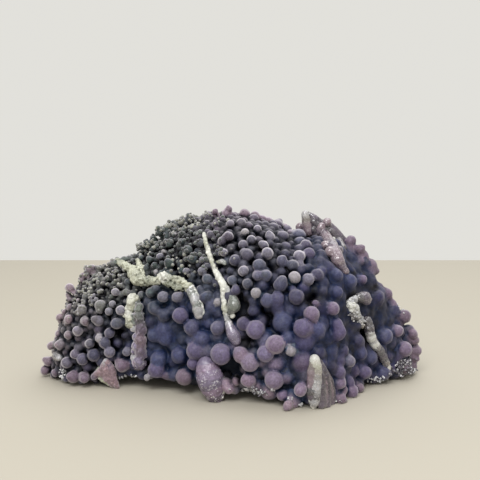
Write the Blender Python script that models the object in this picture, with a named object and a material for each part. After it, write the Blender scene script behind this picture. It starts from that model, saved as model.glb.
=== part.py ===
"""Grape agate: one lump of botryoidal chalcedony, a low mound covered in grown-together balls.

The stone stands on a flat base in the plane z = 0, wide along X, with its best side facing -Y.
A plain mound carries everything. Ridges, fingers and fins cross it, and the grapes grow from it.
All of it is fused into one solid, as the real stone is. Units are metres.
"""

import math
import random

import bmesh
import bpy
from mathutils import Vector, noise
from mathutils.bvhtree import BVHTree

MM = 0.001

# The mound's shape along its length, as (x, value) pairs in millimetres.
CREST_HEIGHT = (
    (-89, 5), (-87.5, 10), (-86, 16), (-83.5, 24), (-80, 31), (-76.5, 40), (-70, 48.5), (-60, 52.5),
    (-46, 58.5), (-38, 64.5), (-30, 70), (-20, 75), (1, 79.5), (9, 78.5), (25, 73), (32, 69),
    (45, 70), (52, 69), (63, 59), (70, 50), (74, 42), (78, 36), (82, 29), (86, 22), (88, 16), (89, 9),
)
CREST_Y = ((-89, 8), (50, 8), (89, 10))
FRONT_RIM_Y = (
    (-89, 4), (-87.5, 0), (-85, -4), (-80, -8), (-74, -9.5), (-60, -11), (-46, -13), (-37, -15),
    (-20, -21), (-5, -27), (8, -31), (20, -34), (28, -38), (38, -39), (46, -31), (52, -24),
    (58, -17), (66, -11), (76, -6), (83, -3), (86.5, 0), (88.5, 4), (89, 6),
)
BACK_RIM_Y = (
    (-89, 12), (-87.5, 16), (-83, 22), (-70, 32), (-40, 44), (0, 50), (30, 50), (60, 41), (78, 30),
    (85, 23), (88.5, 17), (89, 14),
)
RIM_LIFT = ((-89, 2), (-66, 3), (-52, 7), (-35, 7), (-12, 6), (8, 6), (20, 3), (36, 2), (89, 3))

UNDERCUT_SLOPE = 2.2  # how far the flat base is set back behind the rim, in rim lifts
BACK_LIFT = 4 * MM
MOST_LIFT = 0.4  # of the crest's height, where the mound runs out at its ends
BACK_SETBACK = 7 * MM
FULLNESS = 0.9  # 1 makes each side of a section a quarter ellipse, and less makes it fuller
HALF_LENGTH = 89
STATIONS = 27
BASE_DEPTH = 2 * MM  # the mound is made this much too deep, then cut flat
FRONT_STEPS = 10
BACK_STEPS = 8
BASE_STEPS = 3
WAVE_DEPTH = 2.2 * MM
WAVE_SIZE = 26 * MM
LOWEST_WAVE = 0.5 * MM  # the waves leave the upper side at least this high

# The eye that the stone's front was measured from: its place, its downward pitch, and its focal
# length and image centre in pixels of the photograph.
EYE = Vector((0.005, -0.311, 0.112))
EYE_PITCH = math.radians(8)
FOCAL_PIXELS = 659
IMAGE_CENTRE = 240
SIGHT_STEPS = range(250, 380, 2)  # distances from the eye that are tried, in millimetres
UNDERSIDE = -0.2  # a face whose normal points further down than this belongs to the underside

# Grapes that stand out from the front, as (pixel x, pixel y, radius in millimetres).
LEFT_GRAPES = (
    (82, 310, 2.6), (101, 306, 2.9), (99, 320, 2.6), (117, 324, 2.7), (61, 344, 2.6), (52, 346, 2.3),
    (74, 377, 3.0), (84, 377, 2.8), (67, 362, 2.8), (82, 359, 2.8), (94, 355, 3.0), (109, 333, 2.6),
    (105, 343, 2.8), (109, 352, 2.6), (122, 365, 3.2), (49, 361, 2.6), (46, 370, 2.5), (127, 352, 2.3),
)
CENTRE_GRAPES = (
    (164, 297, 2.7), (177, 297, 2.6), (154, 307, 3.0), (165, 315, 3.1), (180, 316, 3.8), (151, 322, 3.1),
    (165, 330, 3.6), (154, 335, 3.3), (166, 338, 3.8), (159, 359, 4.2), (157, 370, 3.9), (180, 355, 3.9),
    (184, 377, 4.0), (192, 328, 3.8), (195, 351, 4.0), (194, 363, 3.0), (218, 328, 3.3), (206, 315, 2.8),
    (203, 338, 3.8), (221, 354, 4.8), (244, 324, 3.3), (256, 330, 4.4), (254, 311, 3.3), (226, 383, 2.7),
    (241, 355, 3.7), (250, 362, 4.2), (248, 380, 3.2), (233, 281, 2.6), (247, 284, 2.6), (256, 293, 2.7),
)
CENTRE_RIGHT_GRAPES = (
    (280, 285, 3.3), (267, 301, 3.2), (278, 299, 3.2), (278, 308, 3.8), (297, 297, 3.8), (283, 323, 4.9),
    (312, 314, 3.8), (302, 328, 4.3), (332, 308, 3.2), (336, 324, 3.1), (338, 333, 3.6), (276, 345, 4.4),
    (265, 354, 4.0), (291, 351, 2.6), (318, 331, 3.8), (289, 338, 3.3), (274, 380, 4.2), (300, 390, 2.9),
    (282, 395, 3.2), (288, 406, 2.6),
)
RIGHT_GRAPES = (
    (356, 325, 2.8), (357, 340, 3.0), (397, 331, 2.9), (408, 330, 2.6), (405, 349, 3.7), (392, 311, 2.9),
    (385, 336, 4.0), (348, 361, 3.0), (344, 350, 2.6), (360, 353, 3.3), (369, 357, 3.8), (364, 372, 3.3),
    (383, 372, 3.8), (340, 383, 3.0), (348, 381, 2.8), (338, 372, 3.0), (352, 392, 3.0), (341, 399, 2.8),
    (415, 333, 2.4), (416, 344, 2.2), (416, 355, 2.2), (404, 367, 3.2), (412, 366, 2.6),
)
TOP_GRAPES = (
    (229, 209, 2.0), (226, 215, 2.5), (209, 216, 2.5), (245, 214, 2.8), (255, 216, 2.8), (241, 225, 2.7),
    (252, 240, 2.6), (247, 255, 3.2), (243, 271, 2.7), (278, 226, 3.1), (283, 237, 3.1), (270, 237, 2.5),
    (267, 254, 2.9), (260, 265, 3.1), (257, 276, 2.7), (266, 276, 3.0), (282, 262, 2.8), (299, 257, 2.9),
    (292, 265, 2.9), (309, 254, 3.0), (282, 273, 2.7), (295, 278, 3.2), (308, 280, 3.0), (317, 275, 3.2),
    (299, 237, 3.9), (306, 245, 2.9), (285, 255, 2.9), (236, 261, 2.9), (188, 251, 2.6), (170, 263, 2.5),
)
RIGHT_TOP_GRAPES = (
    (350, 243, 2.7), (349, 251, 3.2), (362, 262, 3.4), (369, 269, 2.9), (349, 281, 3.8), (336, 276, 3.3),
    (336, 293, 3.3), (380, 291, 2.8), (377, 297, 2.9), (372, 262, 2.2),
)

# Ridges, fingers and fins, as (pixel x, pixel y, radius in millimetres) along each one.
RIDGES = {
    "left crust": ((120, 263, 1.6), (130, 268, 1.9), (141, 279, 2.4), (157, 280, 2.2), (168, 278, 2.2),
                   (181, 282, 2.0), (192, 291, 1.9), (197, 306, 2.0), (199, 315, 2.4)),
    "left crust branch": ((139, 262, 1.3), (141, 269, 1.8), (140, 277, 2.0)),
    "long crust": ((204, 234, 1.3), (209, 253, 1.6), (216, 272, 1.8), (221, 284, 2.0), (224, 300, 2.3),
                   (226, 316, 2.1), (230, 328, 2.2), (235, 336, 2.8)),
    "standing column": ((131, 299, 2.7), (130, 318, 3.1), (135, 335, 3.2), (137, 349, 3.4), (138, 362, 3.4)),
    "hanging cone": ((206, 366, 4.6), (208, 376, 5.6), (212, 390, 4.7), (216, 401, 2.4)),
    "front finger": ((315, 360, 2.6), (315, 372, 2.9), (316, 387, 3.0), (313, 400, 2.9)),
    "front wing": ((325, 371, 3.2), (330, 383, 3.6), (330, 399, 3.4)),
    "crest finger": ((304, 213, 2.1), (306, 222, 2.4), (308, 229, 2.4), (310, 236, 2.4)),
    "crest chain": ((320, 229, 2.4), (325, 238, 2.8), (330, 247, 2.1), (340, 253, 2.4), (342, 262, 2.6),
                    (346, 271, 1.7)),
    "crest lip": ((327, 221, 2.0), (333, 231, 2.6), (345, 243, 2.8), (356, 251, 2.6)),
    "upper right crust": ((355, 299, 2.2), (351, 304, 2.2), (358, 314, 2.3), (363, 322, 2.2)),
    "lower right crust": ((369, 325, 2.2), (371, 337, 2.4), (377, 348, 2.4), (383, 357, 2.4),
                          (387, 368, 2.2)),
    "left fin": ((106, 365, 2.2), (107, 374, 3.4), (112, 383, 2.6)),
}
RIDGE_STANDING = 0.55  # how far a ridge's middle stands out of the mound, in ridge radii
RIDGE_SIDES = 2  # bevel resolution: eight sides
END_SWELL = 1.05  # the ball that rounds off a ridge's end, in ridge radii
SAME_PLACE = 0.001 * MM  # points of a ridge closer than this are one point

GRAPE_STANDING = 0.35  # how far a grape's middle stands out of the mound, in grape radii
MOST_STANDING = 0.7  # a grape seen past the mound's edge is drawn in until it stands no further out
LARGE_RADIUS = 3.5
MEDIUM_RADIUS = 2.75
LARGE_FACETS = (8, 6)  # sides and rings
MEDIUM_FACETS = (7, 5)
SMALL_FACETS = (6, 4)

# The rest of the crust grows evenly: fine at the upper left, coarse towards the right.
FILL_SEED = 7
FILL_TRIES = 6000
FINE_RADIUS = 3.0
COARSE_RADIUS = 4.6
COARSENING = ((-70, 120), (30, -160))  # millimetres along X and Z: where it starts, and over how much
FILL_SIZES = (0.85, 1.15)  # spread of the radii
FILL_SPACING = 1.9  # distance between middles, in mean radii
LOWEST_MIDDLE = 0.7  # a grape's middle is at least this many radii above the base
NORMAL_NOT_BELOW = -0.35  # grapes grow where the mound faces no further down than this

TRIANGLES = 9600  # of the finished stone: the fused surface is thinned to this, flattest places first
GROUND_SIZE = 0.4


def along(pairs, x):
    """The value in metres of one of the mound's curves at x in millimetres."""
    for (x0, v0), (x1, v1) in zip(pairs, pairs[1:]):
        if x <= x1:
            return (v0 + (v1 - v0) * (x - x0) / (x1 - x0)) * MM
    return pairs[-1][1] * MM


def section(x):
    """The mound's outline across its length at x, from the back of the flat base round the front."""
    crest_y, crest_z = along(CREST_Y, x), along(CREST_HEIGHT, x)
    front, back, lift = along(FRONT_RIM_Y, x), along(BACK_RIM_Y, x), along(RIM_LIFT, x)
    lift = min(lift, crest_z * MOST_LIFT)
    back_lift = min(BACK_LIFT, crest_z * MOST_LIFT)
    base_front = min(front + UNDERCUT_SLOPE * lift, crest_y)
    base_back = max(back - BACK_SETBACK, crest_y + MM)
    points = []
    for i in range(BASE_STEPS + 1):
        points.append((base_back + (base_front - base_back) * i / BASE_STEPS, -BASE_DEPTH))
    for i in range(FRONT_STEPS + 1):
        turn = math.pi / 2 * i / FRONT_STEPS
        y = crest_y - (crest_y - front) * math.cos(turn) ** FULLNESS
        points.append((y, lift + (crest_z - lift) * math.sin(turn) ** FULLNESS))
    for i in range(1, BACK_STEPS + 1):
        turn = math.pi / 2 * (1 - i / BACK_STEPS)
        y = crest_y + (back - crest_y) * math.cos(turn) ** FULLNESS
        points.append((y, back_lift + (crest_z - back_lift) * math.sin(turn) ** FULLNESS))
    return points


def mound_mesh():
    """The bare mound: sections lofted along X, closed at both ends, with slow waves in its upper side."""
    shape = bmesh.new()
    rings = []
    for i in range(STATIONS):
        x = -HALF_LENGTH * math.cos(math.pi * i / (STATIONS - 1))
        rings.append([shape.verts.new((x * MM, y, z)) for y, z in section(x)])
    for first, second in zip(rings, rings[1:]):
        for i in range(len(first)):
            j = (i + 1) % len(first)
            shape.faces.new((first[i], first[j], second[j], second[i]))
    shape.faces.new(reversed(rings[0]))
    shape.faces.new(rings[-1])
    shape.normal_update()
    for vert in shape.verts:
        if vert.co.z > 0:
            wave = noise.noise(vert.co / WAVE_SIZE) * WAVE_DEPTH
            vert.co += vert.normal * wave
            vert.co.z = max(vert.co.z, LOWEST_WAVE)
    bmesh.ops.recalc_face_normals(shape, faces=shape.faces)
    mesh = bpy.data.meshes.new("mound")
    shape.to_mesh(mesh)
    shape.free()
    return mesh


def sight_line(x, y):
    """Direction from the eye through a pixel of the photograph."""
    ahead = Vector((0, math.cos(EYE_PITCH), -math.sin(EYE_PITCH)))
    up = Vector((0, math.sin(EYE_PITCH), math.cos(EYE_PITCH)))
    right = Vector((1, 0, 0))
    aside = right * ((x - IMAGE_CENTRE) / FOCAL_PIXELS) + up * ((IMAGE_CENTRE - y) / FOCAL_PIXELS)
    return (ahead + aside).normalized()


def on_mound(mound, x, y, depth=None):
    """Where a pixel's sight line meets the mound's upper side, and the mound's normal there.

    A line that misses it is followed to the given depth, for a finger that hangs free, or else to
    where it comes nearest to the mound.
    """
    ray = sight_line(x, y)
    point, normal, _, _ = mound.ray_cast(EYE, ray)
    if point is not None and normal.z > UNDERSIDE:
        return point, normal
    if depth is not None:
        return EYE + ray * ((depth - EYE.y) / ray.y), Vector((0, -1, 0))
    best = None
    for step in SIGHT_STEPS:
        here = EYE + ray * step * MM
        _, normal, _, gap = mound.find_nearest(here)
        if normal.z > UNDERSIDE and (best is None or gap < best[0]):
            best = (gap, here, normal)
    return best[1], best[2]


def fill_radius(point):
    """Radius of an ordinary grape at a point of the mound, in millimetres."""
    (x_start, x_run), (z_start, z_run) = COARSENING
    share = (point.x / MM - x_start) / x_run + (point.z / MM - z_start) / z_run
    share = min(max(share, 0), 1)
    return FINE_RADIUS + (COARSE_RADIUS - FINE_RADIUS) * share


def measured_grapes(mound):
    """The grapes that stand out from the front, as (middle, growing direction, radius in metres)."""
    grapes = []
    groups = (LEFT_GRAPES, CENTRE_GRAPES, CENTRE_RIGHT_GRAPES, RIGHT_GRAPES, TOP_GRAPES, RIGHT_TOP_GRAPES)
    for x, y, radius in sum(groups, ()):
        point, normal = on_mound(mound, x, y)
        middle = point - sight_line(x, y) * GRAPE_STANDING * radius * MM
        nearest, _, _, gap = mound.find_nearest(middle)
        most = MOST_STANDING * radius * MM
        if gap > most:
            middle = nearest + (middle - nearest) * (most / gap)
        grapes.append((middle, normal, radius * MM))
    return grapes


def filling_grapes(mound_object, mound, grapes):
    """Further grapes wherever the mound still has room, on its sides, back and top."""
    chance = random.Random(FILL_SEED)
    faces = [f for f in mound_object.data.polygons if f.normal.z > NORMAL_NOT_BELOW and f.center.z > 0]
    areas = [f.area for f in faces]
    found = list(grapes)
    for face in chance.choices(faces, areas, k=FILL_TRIES):
        corners = [mound_object.data.vertices[i].co for i in face.vertices]
        weights = [chance.random() for _ in corners]
        total = sum(weights)
        point = sum((c * (w / total) for c, w in zip(corners, weights)), Vector())
        point, normal, _, _ = mound.find_nearest(point)
        radius = fill_radius(point) * chance.uniform(*FILL_SIZES) * MM
        middle = point + normal * GRAPE_STANDING * radius
        if middle.z < radius * LOWEST_MIDDLE:
            continue
        if all((middle - m).length > FILL_SPACING * (radius + r) / 2 for m, _, r in found):
            found.append((middle, normal, radius))
    return found[len(grapes):]


def add_grape(shape, middle, direction, radius):
    """One round grape, with finer facets on a bigger one and its pole along the direction it grew in."""
    facets = SMALL_FACETS
    if radius > MEDIUM_RADIUS * MM:
        facets = MEDIUM_FACETS
    if radius > LARGE_RADIUS * MM:
        facets = LARGE_FACETS
    turn = direction.to_track_quat("Z", "Y").to_matrix().to_4x4()
    turn.translation = middle
    bmesh.ops.create_uvsphere(shape, u_segments=facets[0], v_segments=facets[1], radius=radius, matrix=turn)


def object_of(name, shape, collection):
    """An object in the collection, from a bmesh that is used up."""
    mesh = bpy.data.meshes.new(name)
    shape.to_mesh(mesh)
    shape.free()
    made = bpy.data.objects.new(name, mesh)
    collection.objects.link(made)
    return made


def ridge_object(name, points, mound, collection):
    """One ridge or finger: a tapering tube that follows the mound, as a closed mesh."""
    curve = bpy.data.curves.new(name, "CURVE")
    curve.dimensions = "3D"
    curve.bevel_depth = MM
    curve.bevel_resolution = RIDGE_SIDES
    curve.use_fill_caps = True
    spline = curve.splines.new("POLY")
    spline.points.add(len(points) - 1)
    line = []
    depth = None
    for knot, (x, y, radius) in zip(spline.points, points):
        point, _ = on_mound(mound, x, y, depth)
        depth = point.y
        line.append(point - sight_line(x, y) * RIDGE_STANDING * radius * MM)
        knot.co = (*line[-1], 1)
        knot.radius = radius
    tube = bpy.data.objects.new(name + " line", curve)
    collection.objects.link(tube)
    bpy.context.view_layer.update()
    evaluated = tube.evaluated_get(bpy.context.evaluated_depsgraph_get())
    mesh = bpy.data.meshes.new_from_object(evaluated)
    bpy.data.objects.remove(tube)
    shape = bmesh.new()
    shape.from_mesh(mesh)
    bmesh.ops.remove_doubles(shape, verts=shape.verts, dist=SAME_PLACE)
    add_grape(shape, line[0], line[0] - line[1], points[0][2] * END_SWELL * MM)
    add_grape(shape, line[-1], line[-1] - line[-2], points[-1][2] * END_SWELL * MM)
    bmesh.ops.recalc_face_normals(shape, faces=shape.faces)
    return object_of(name, shape, collection)


def fused(mound_object, helpers):
    """The mound and every helper in one closed surface, with pockets that nothing can reach filled in."""
    union = mound_object.modifiers.new("fuse", "BOOLEAN")
    union.operation = "UNION"
    union.solver = "EXACT"
    union.operand_type = "COLLECTION"
    union.collection = helpers
    union.use_self = True
    evaluated = mound_object.evaluated_get(bpy.context.evaluated_depsgraph_get())
    mesh = bpy.data.meshes.new_from_object(evaluated)
    mound_object.modifiers.clear()
    shape = bmesh.new()
    shape.from_mesh(mesh)
    bmesh.ops.triangulate(shape, faces=shape.faces)
    keep_outer_surface(shape)
    return shape


def keep_outer_surface(shape):
    """Deletes every closed surface but the largest, which is the outside of the stone."""
    left = set(shape.faces)
    surfaces = []
    while left:
        surface, edge = [], [left.pop()]
        while edge:
            face = edge.pop()
            surface.append(face)
            for side in face.edges:
                for other in side.link_faces:
                    if other in left:
                        left.remove(other)
                        edge.append(other)
        surfaces.append(surface)
    surfaces.sort(key=len)
    for surface in surfaces[:-1]:
        bmesh.ops.delete(shape, geom=surface, context="FACES")


def stone_material():
    """Polished-looking purple chalcedony."""
    material = bpy.data.materials.new("purple chalcedony")
    material.use_nodes = True
    finish = material.node_tree.nodes["Principled BSDF"]
    finish.inputs["Base Color"].default_value = (0.20, 0.15, 0.30, 1)
    finish.inputs["Roughness"].default_value = 0.42
    finish.inputs["Metallic"].default_value = 0
    material.diffuse_color = (0.20, 0.15, 0.30, 1)
    return material


def new_collection(name):
    """A collection in the scene."""
    made = bpy.data.collections.new(name)
    bpy.context.scene.collection.children.link(made)
    return made


def add_growths(mound_object, helpers):
    """Makes every grape, ridge and finger that grows from the mound, and returns how many grapes."""
    shape = bmesh.new()
    shape.from_mesh(mound_object.data)
    mound = BVHTree.FromBMesh(shape)
    shape.free()
    grapes = measured_grapes(mound)
    grapes += filling_grapes(mound_object, mound, grapes)
    shape = bmesh.new()
    for middle, direction, radius in grapes:
        add_grape(shape, middle, direction, radius)
    object_of("grapes", shape, helpers)
    for name, points in RIDGES.items():
        ridge_object(name, points, mound, helpers)
    bpy.context.view_layer.update()
    return len(grapes)


def centred(shape):
    """Moves the stone so that the middle of its outline is over the origin, and returns where it was."""
    low = Vector(min(vert.co[axis] for vert in shape.verts) for axis in range(3))
    high = Vector(max(vert.co[axis] for vert in shape.verts) for axis in range(3))
    middle = (low + high) / 2
    bmesh.ops.translate(shape, verts=shape.verts, vec=(-middle.x, -middle.y, 0))
    return middle


def finish_stone(agate, ground):
    """Thins the fused surface, cuts the base flat and gives the stone its material."""
    agate.data.materials.append(stone_material())
    thinning = agate.modifiers.new("thin", "DECIMATE")
    thinning.ratio = TRIANGLES / len(agate.data.polygons)
    thinning.use_collapse_triangulate = True
    flat = agate.modifiers.new("flat base", "BOOLEAN")
    flat.operation = "DIFFERENCE"
    flat.solver = "EXACT"
    flat.object = ground


def ground_block(helpers):
    """A block that ends at z = 0, to cut the base flat."""
    shape = bmesh.new()
    bmesh.ops.create_cube(shape, size=GROUND_SIZE)
    bmesh.ops.translate(shape, verts=shape.verts, vec=(0, 0, -GROUND_SIZE / 2))
    return object_of("ground", shape, helpers)


def main():
    for old in list(bpy.data.objects):
        bpy.data.objects.remove(old)
    stone = new_collection("grape agate")
    helpers = new_collection("growths to fuse")
    mound_object = bpy.data.objects.new("mound", mound_mesh())
    stone.objects.link(mound_object)
    count = add_growths(mound_object, helpers)
    shape = fused(mound_object, helpers)
    bpy.data.objects.remove(mound_object)
    middle = centred(shape)
    agate = object_of("grape_agate", shape, stone)
    finish_stone(agate, ground_block(helpers))
    for helper in helpers.objects:
        helper.hide_render = True
        helper.display_type = "WIRE"
    helpers.hide_render = True
    print("grapes:", count, "middle:", tuple(round(v / MM, 2) for v in middle))


main()
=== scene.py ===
# %% [markdown]
# # Grape agate
# A lump of purple chalcedony that grew as thousands of little balls, the "grapes".
# CAD holds its plain, faceted solid. This script dresses that solid with the real surface.
# The first cell loads the imported solid as a fixed frame.

# %% The frame
import itertools
import math

import bmesh
import bpy
import numpy as np
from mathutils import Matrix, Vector, noise
from mathutils.bvhtree import BVHTree


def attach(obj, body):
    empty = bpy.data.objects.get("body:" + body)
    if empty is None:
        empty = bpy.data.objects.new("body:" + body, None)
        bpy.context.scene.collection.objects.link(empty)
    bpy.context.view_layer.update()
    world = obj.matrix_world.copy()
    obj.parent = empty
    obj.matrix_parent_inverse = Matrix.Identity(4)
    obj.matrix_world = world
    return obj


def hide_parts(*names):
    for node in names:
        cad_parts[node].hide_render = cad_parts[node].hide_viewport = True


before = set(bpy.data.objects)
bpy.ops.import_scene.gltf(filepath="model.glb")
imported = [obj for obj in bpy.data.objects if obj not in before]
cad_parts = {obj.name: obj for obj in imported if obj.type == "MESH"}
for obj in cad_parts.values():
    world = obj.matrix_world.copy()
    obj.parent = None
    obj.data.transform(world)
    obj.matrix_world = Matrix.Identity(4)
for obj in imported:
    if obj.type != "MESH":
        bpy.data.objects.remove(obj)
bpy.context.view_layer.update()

MM = 0.001


# %% [markdown]
# ## The mound
# Under the grapes the stone is a low mound. It could be sculpted by hand, but then nobody could
# say how big it is. Instead a few curves give its height, its rims and its crest along the length,
# and sections between them are lofted, with the same numbers that the CAD solid was built from.
# All of it is made in the frame that the stone was measured in. The stone's middle lies at MIDDLE
# in that frame, and each finished piece is moved by it once.

# %% The mound's curves
# Each is a row of pairs: x and the value there, in millimetres.
CREST_HEIGHT = (
    (-89, 5), (-87.5, 10), (-86, 16), (-83.5, 24), (-80, 31), (-76.5, 40), (-70, 48.5), (-60, 52.5),
    (-46, 58.5), (-38, 64.5), (-30, 70), (-20, 75), (1, 79.5), (9, 78.5), (25, 73), (32, 69), (45, 70),
    (52, 69), (63, 59), (70, 50), (74, 42), (78, 36), (82, 29), (86, 22), (88, 16), (89, 9),
)
CREST_Y = ((-89, 8), (50, 8), (89, 10))
FRONT_RIM_Y = (
    (-89, 4), (-87.5, 0), (-85, -4), (-80, -8), (-74, -9.5), (-60, -11), (-46, -13), (-37, -15),
    (-20, -21), (-5, -27), (8, -31), (20, -34), (28, -38), (38, -39), (46, -31), (52, -24), (58, -17),
    (66, -11), (76, -6), (83, -3), (86.5, 0), (88.5, 4), (89, 6),
)
BACK_RIM_Y = (
    (-89, 12), (-87.5, 16), (-83, 22), (-70, 32), (-40, 44), (0, 50), (30, 50), (60, 41), (78, 30),
    (85, 23), (88.5, 17), (89, 14),
)
RIM_LIFT = ((-89, 2), (-66, 3), (-52, 7), (-35, 7), (-12, 6), (8, 6), (20, 3), (36, 2), (89, 3))


def along(pairs, x):
    """The value of one of the curves at x."""
    return float(np.interp(x, *zip(*pairs)))


print("highest point of the crest:", max(height for _, height in CREST_HEIGHT), "mm")

# %% The mound's sections
UNDERCUT_SLOPE = 2.2  # how far the base lies behind the front rim, for each millimetre of its lift
BACK_LIFT, BACK_SETBACK = 4, 7  # how high the back rim lies, and how far the base lies before it
RIM_SHARE = 0.4  # a rim lies no higher than this share of the crest
NARROWEST = 1  # least depth of the base behind the crest
FULLNESS = 0.9  # 1 gives quarter ellipses, and less gives fuller flanks
BASE_DEPTH = 2
FRONT_STEPS, BACK_STEPS, BASE_STEPS = 10, 8, 3


def section(x):
    """The mound's outline across its length at x, from the back of the base round the front."""
    crest_y, crest_z = along(CREST_Y, x), along(CREST_HEIGHT, x)
    front, back = along(FRONT_RIM_Y, x), along(BACK_RIM_Y, x)
    lift = min(along(RIM_LIFT, x), crest_z * RIM_SHARE)
    back_lift = min(BACK_LIFT, crest_z * RIM_SHARE)
    base_front = min(front + UNDERCUT_SLOPE * lift, crest_y)
    base_back = max(back - BACK_SETBACK, crest_y + NARROWEST)
    points = [(y, -BASE_DEPTH) for y in np.linspace(base_back, base_front, BASE_STEPS + 1)]
    for i in range(FRONT_STEPS + 1):
        turn = math.pi / 2 * i / FRONT_STEPS
        y = crest_y - (crest_y - front) * math.cos(turn) ** FULLNESS
        points.append((y, lift + (crest_z - lift) * math.sin(turn) ** FULLNESS))
    for i in range(1, BACK_STEPS + 1):
        turn = math.pi / 2 * (1 - i / BACK_STEPS)
        y = crest_y + (back - crest_y) * math.cos(turn) ** FULLNESS
        points.append((y, back_lift + (crest_z - back_lift) * math.sin(turn) ** FULLNESS))
    return points


print("points in a section:", len(section(0)))

# %% The lofted mound
HALF_LENGTH = 89
SECTIONS = 27
WAVE_DEPTH, WAVE_SIZE = 2.2, 26
LOWEST_WAVE = 0.5  # a wave never takes the upper side below this height
MIDDLE = np.array((0.40, 6.51, 0.0))


def mound_shape():
    """The lofted mound as a closed bmesh in millimetres, with slow waves in its upper side."""
    shape = bmesh.new()
    rings = []
    for i in range(SECTIONS):
        x = -HALF_LENGTH * math.cos(math.pi * i / (SECTIONS - 1))
        rings.append([shape.verts.new((x, y, z)) for y, z in section(x)])
    for first, second in zip(rings, rings[1:]):
        for i in range(len(first)):
            j = (i + 1) % len(first)
            shape.faces.new((first[i], first[j], second[j], second[i]))
    shape.faces.new(reversed(rings[0]))
    shape.faces.new(rings[-1])
    shape.normal_update()
    for vert in shape.verts:
        if vert.co.z > 0:
            vert.co += vert.normal * noise.noise(vert.co / WAVE_SIZE) * WAVE_DEPTH
            vert.co.z = max(vert.co.z, LOWEST_WAVE)
    bmesh.ops.recalc_face_normals(shape, faces=shape.faces)
    return shape


shape = mound_shape()
mound = BVHTree.FromBMesh(shape)
bmesh.ops.triangulate(shape, faces=shape.faces)
mound_corners = np.array([[v.co for v in f.verts] for f in shape.faces])
mound_normals = np.array([f.normal for f in shape.faces])
mound_areas = np.array([f.calc_area() for f in shape.faces])
shape.free()
print("mound:", len(mound_areas), "triangles,", round(mound_areas.sum() / 100), "cm2")

# %% [markdown]
# ## From the photograph to the stone
# The photograph is a flat picture of a round stone. A grape that is seen at some pixel lies somewhere
# on the line from the eye through that pixel. The line is followed until it meets the mound, and the
# grape is set there. So it looks right from the front and also sits on the stone from any other side.

# %% The eye
EYE = Vector((5, -311, 112))
EYE_PITCH = math.radians(8)  # how far it looks down
FOCAL_PIXELS = 659  # the lens: how many pixels wide a thing is that is as wide as it is far away
IMAGE_SIZE = 480
AHEAD = Vector((0, math.cos(EYE_PITCH), -math.sin(EYE_PITCH)))
UP = Vector((0, math.sin(EYE_PITCH), math.cos(EYE_PITCH)))


def sight_line(x, y):
    """Direction from the eye through a pixel."""
    across = Vector((1, 0, 0)) * ((x - IMAGE_SIZE / 2) / FOCAL_PIXELS)
    return (AHEAD + across + UP * ((IMAGE_SIZE / 2 - y) / FOCAL_PIXELS)).normalized()


def pixels(points):
    """Where points of the stone, one in each row, appear in the photograph."""
    seen = points - np.array(EYE)
    depth = seen @ np.array(AHEAD)
    x = IMAGE_SIZE / 2 + FOCAL_PIXELS * seen[:, 0] / depth
    return np.stack((x, IMAGE_SIZE / 2 - FOCAL_PIXELS * (seen @ np.array(UP)) / depth), 1)


print("the stone's middle is seen at pixel", pixels(MIDDLE[None])[0].round())

# %% Where a sight line meets the mound
SIGHT_STEPS = range(250, 380, 2)  # how far along the line to look, in millimetres
UNDERSIDE = -0.2  # a surface whose normal points further down than this is the underside


def on_mound(x, y, depth=None):
    """The point of the mound seen at a pixel, and the direction that faces away from it there.

    A line that misses is followed to the given depth, or else to where it passes closest.
    """
    ray = sight_line(x, y)
    point, normal, _, _ = mound.ray_cast(EYE, ray)
    if point is not None and normal.z > UNDERSIDE:
        return point, normal
    if depth is not None:
        return EYE + ray * ((depth - EYE.y) / ray.y), Vector((0, -1, 0))
    best = None
    for step in SIGHT_STEPS:
        here = EYE + ray * step
        _, normal, _, gap = mound.find_nearest(here)
        if normal.z > UNDERSIDE and (best is None or gap < best[0]):
            best = (gap, here, normal)
    return best[1], best[2]


print("the pixel in the middle of the stone meets it at", [round(v, 1) for v in on_mound(235, 310)[0]])

# %% [markdown]
# ## The grapes that can be told apart
# Some 270 grapes are clear enough in the photograph to be placed one by one: pixel x, pixel y and
# radius in pixels, then a letter for the look. f is frosted, d dark, w white, p pink, m mauve,
# l lavender, b blue. They are worth a place in a list, because the eye compares just these: the
# biggest ball, the pair by the column, the row along the crest.

# %% The grapes on the left
LEFT_EDGE = (
    (70, 288, 4.5, "m"), (68.5, 294.5, 3, "m"), (70.5, 299.5, 3.5, "m"), (65, 312, 3, "m"),
    (60, 317.5, 4, "m"), (69, 319.5, 5, "m"), (66, 324, 2.2, "w"), (70.5, 307.5, 4, "m"),
    (90.5, 264.5, 3, "m"), (87, 270, 3.2, "m"), (84, 275.5, 3.2, "m"), (82, 280, 3, "m"),
)
LEFT = (
    (82, 310, 5.5, ""), (85, 321, 5, ""), (100.5, 306, 6, ""), (98.5, 320.5, 5.5, ""),
    (109, 311.5, 4, "f"), (112.5, 304, 3.5, "f"), (115.5, 292, 4.1, "f"), (117, 323.5, 5.7, ""),
    (121, 310.5, 5, "f"), (78.5, 300.5, 2.5, ""), (84, 302.5, 3, ""), (91, 298, 2.4, "f"),
    (94, 295.5, 2.2, "f"), (96.5, 299.5, 2.4, "f"), (92.5, 301.5, 2.2, "f"), (101, 291.5, 3, ""),
    (94, 275, 1.8, "w"), (100.5, 277, 3, ""), (99.5, 269.5, 3, ""), (104.5, 267.5, 2.5, ""),
    (116.5, 257.5, 2.5, ""),
)
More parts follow.
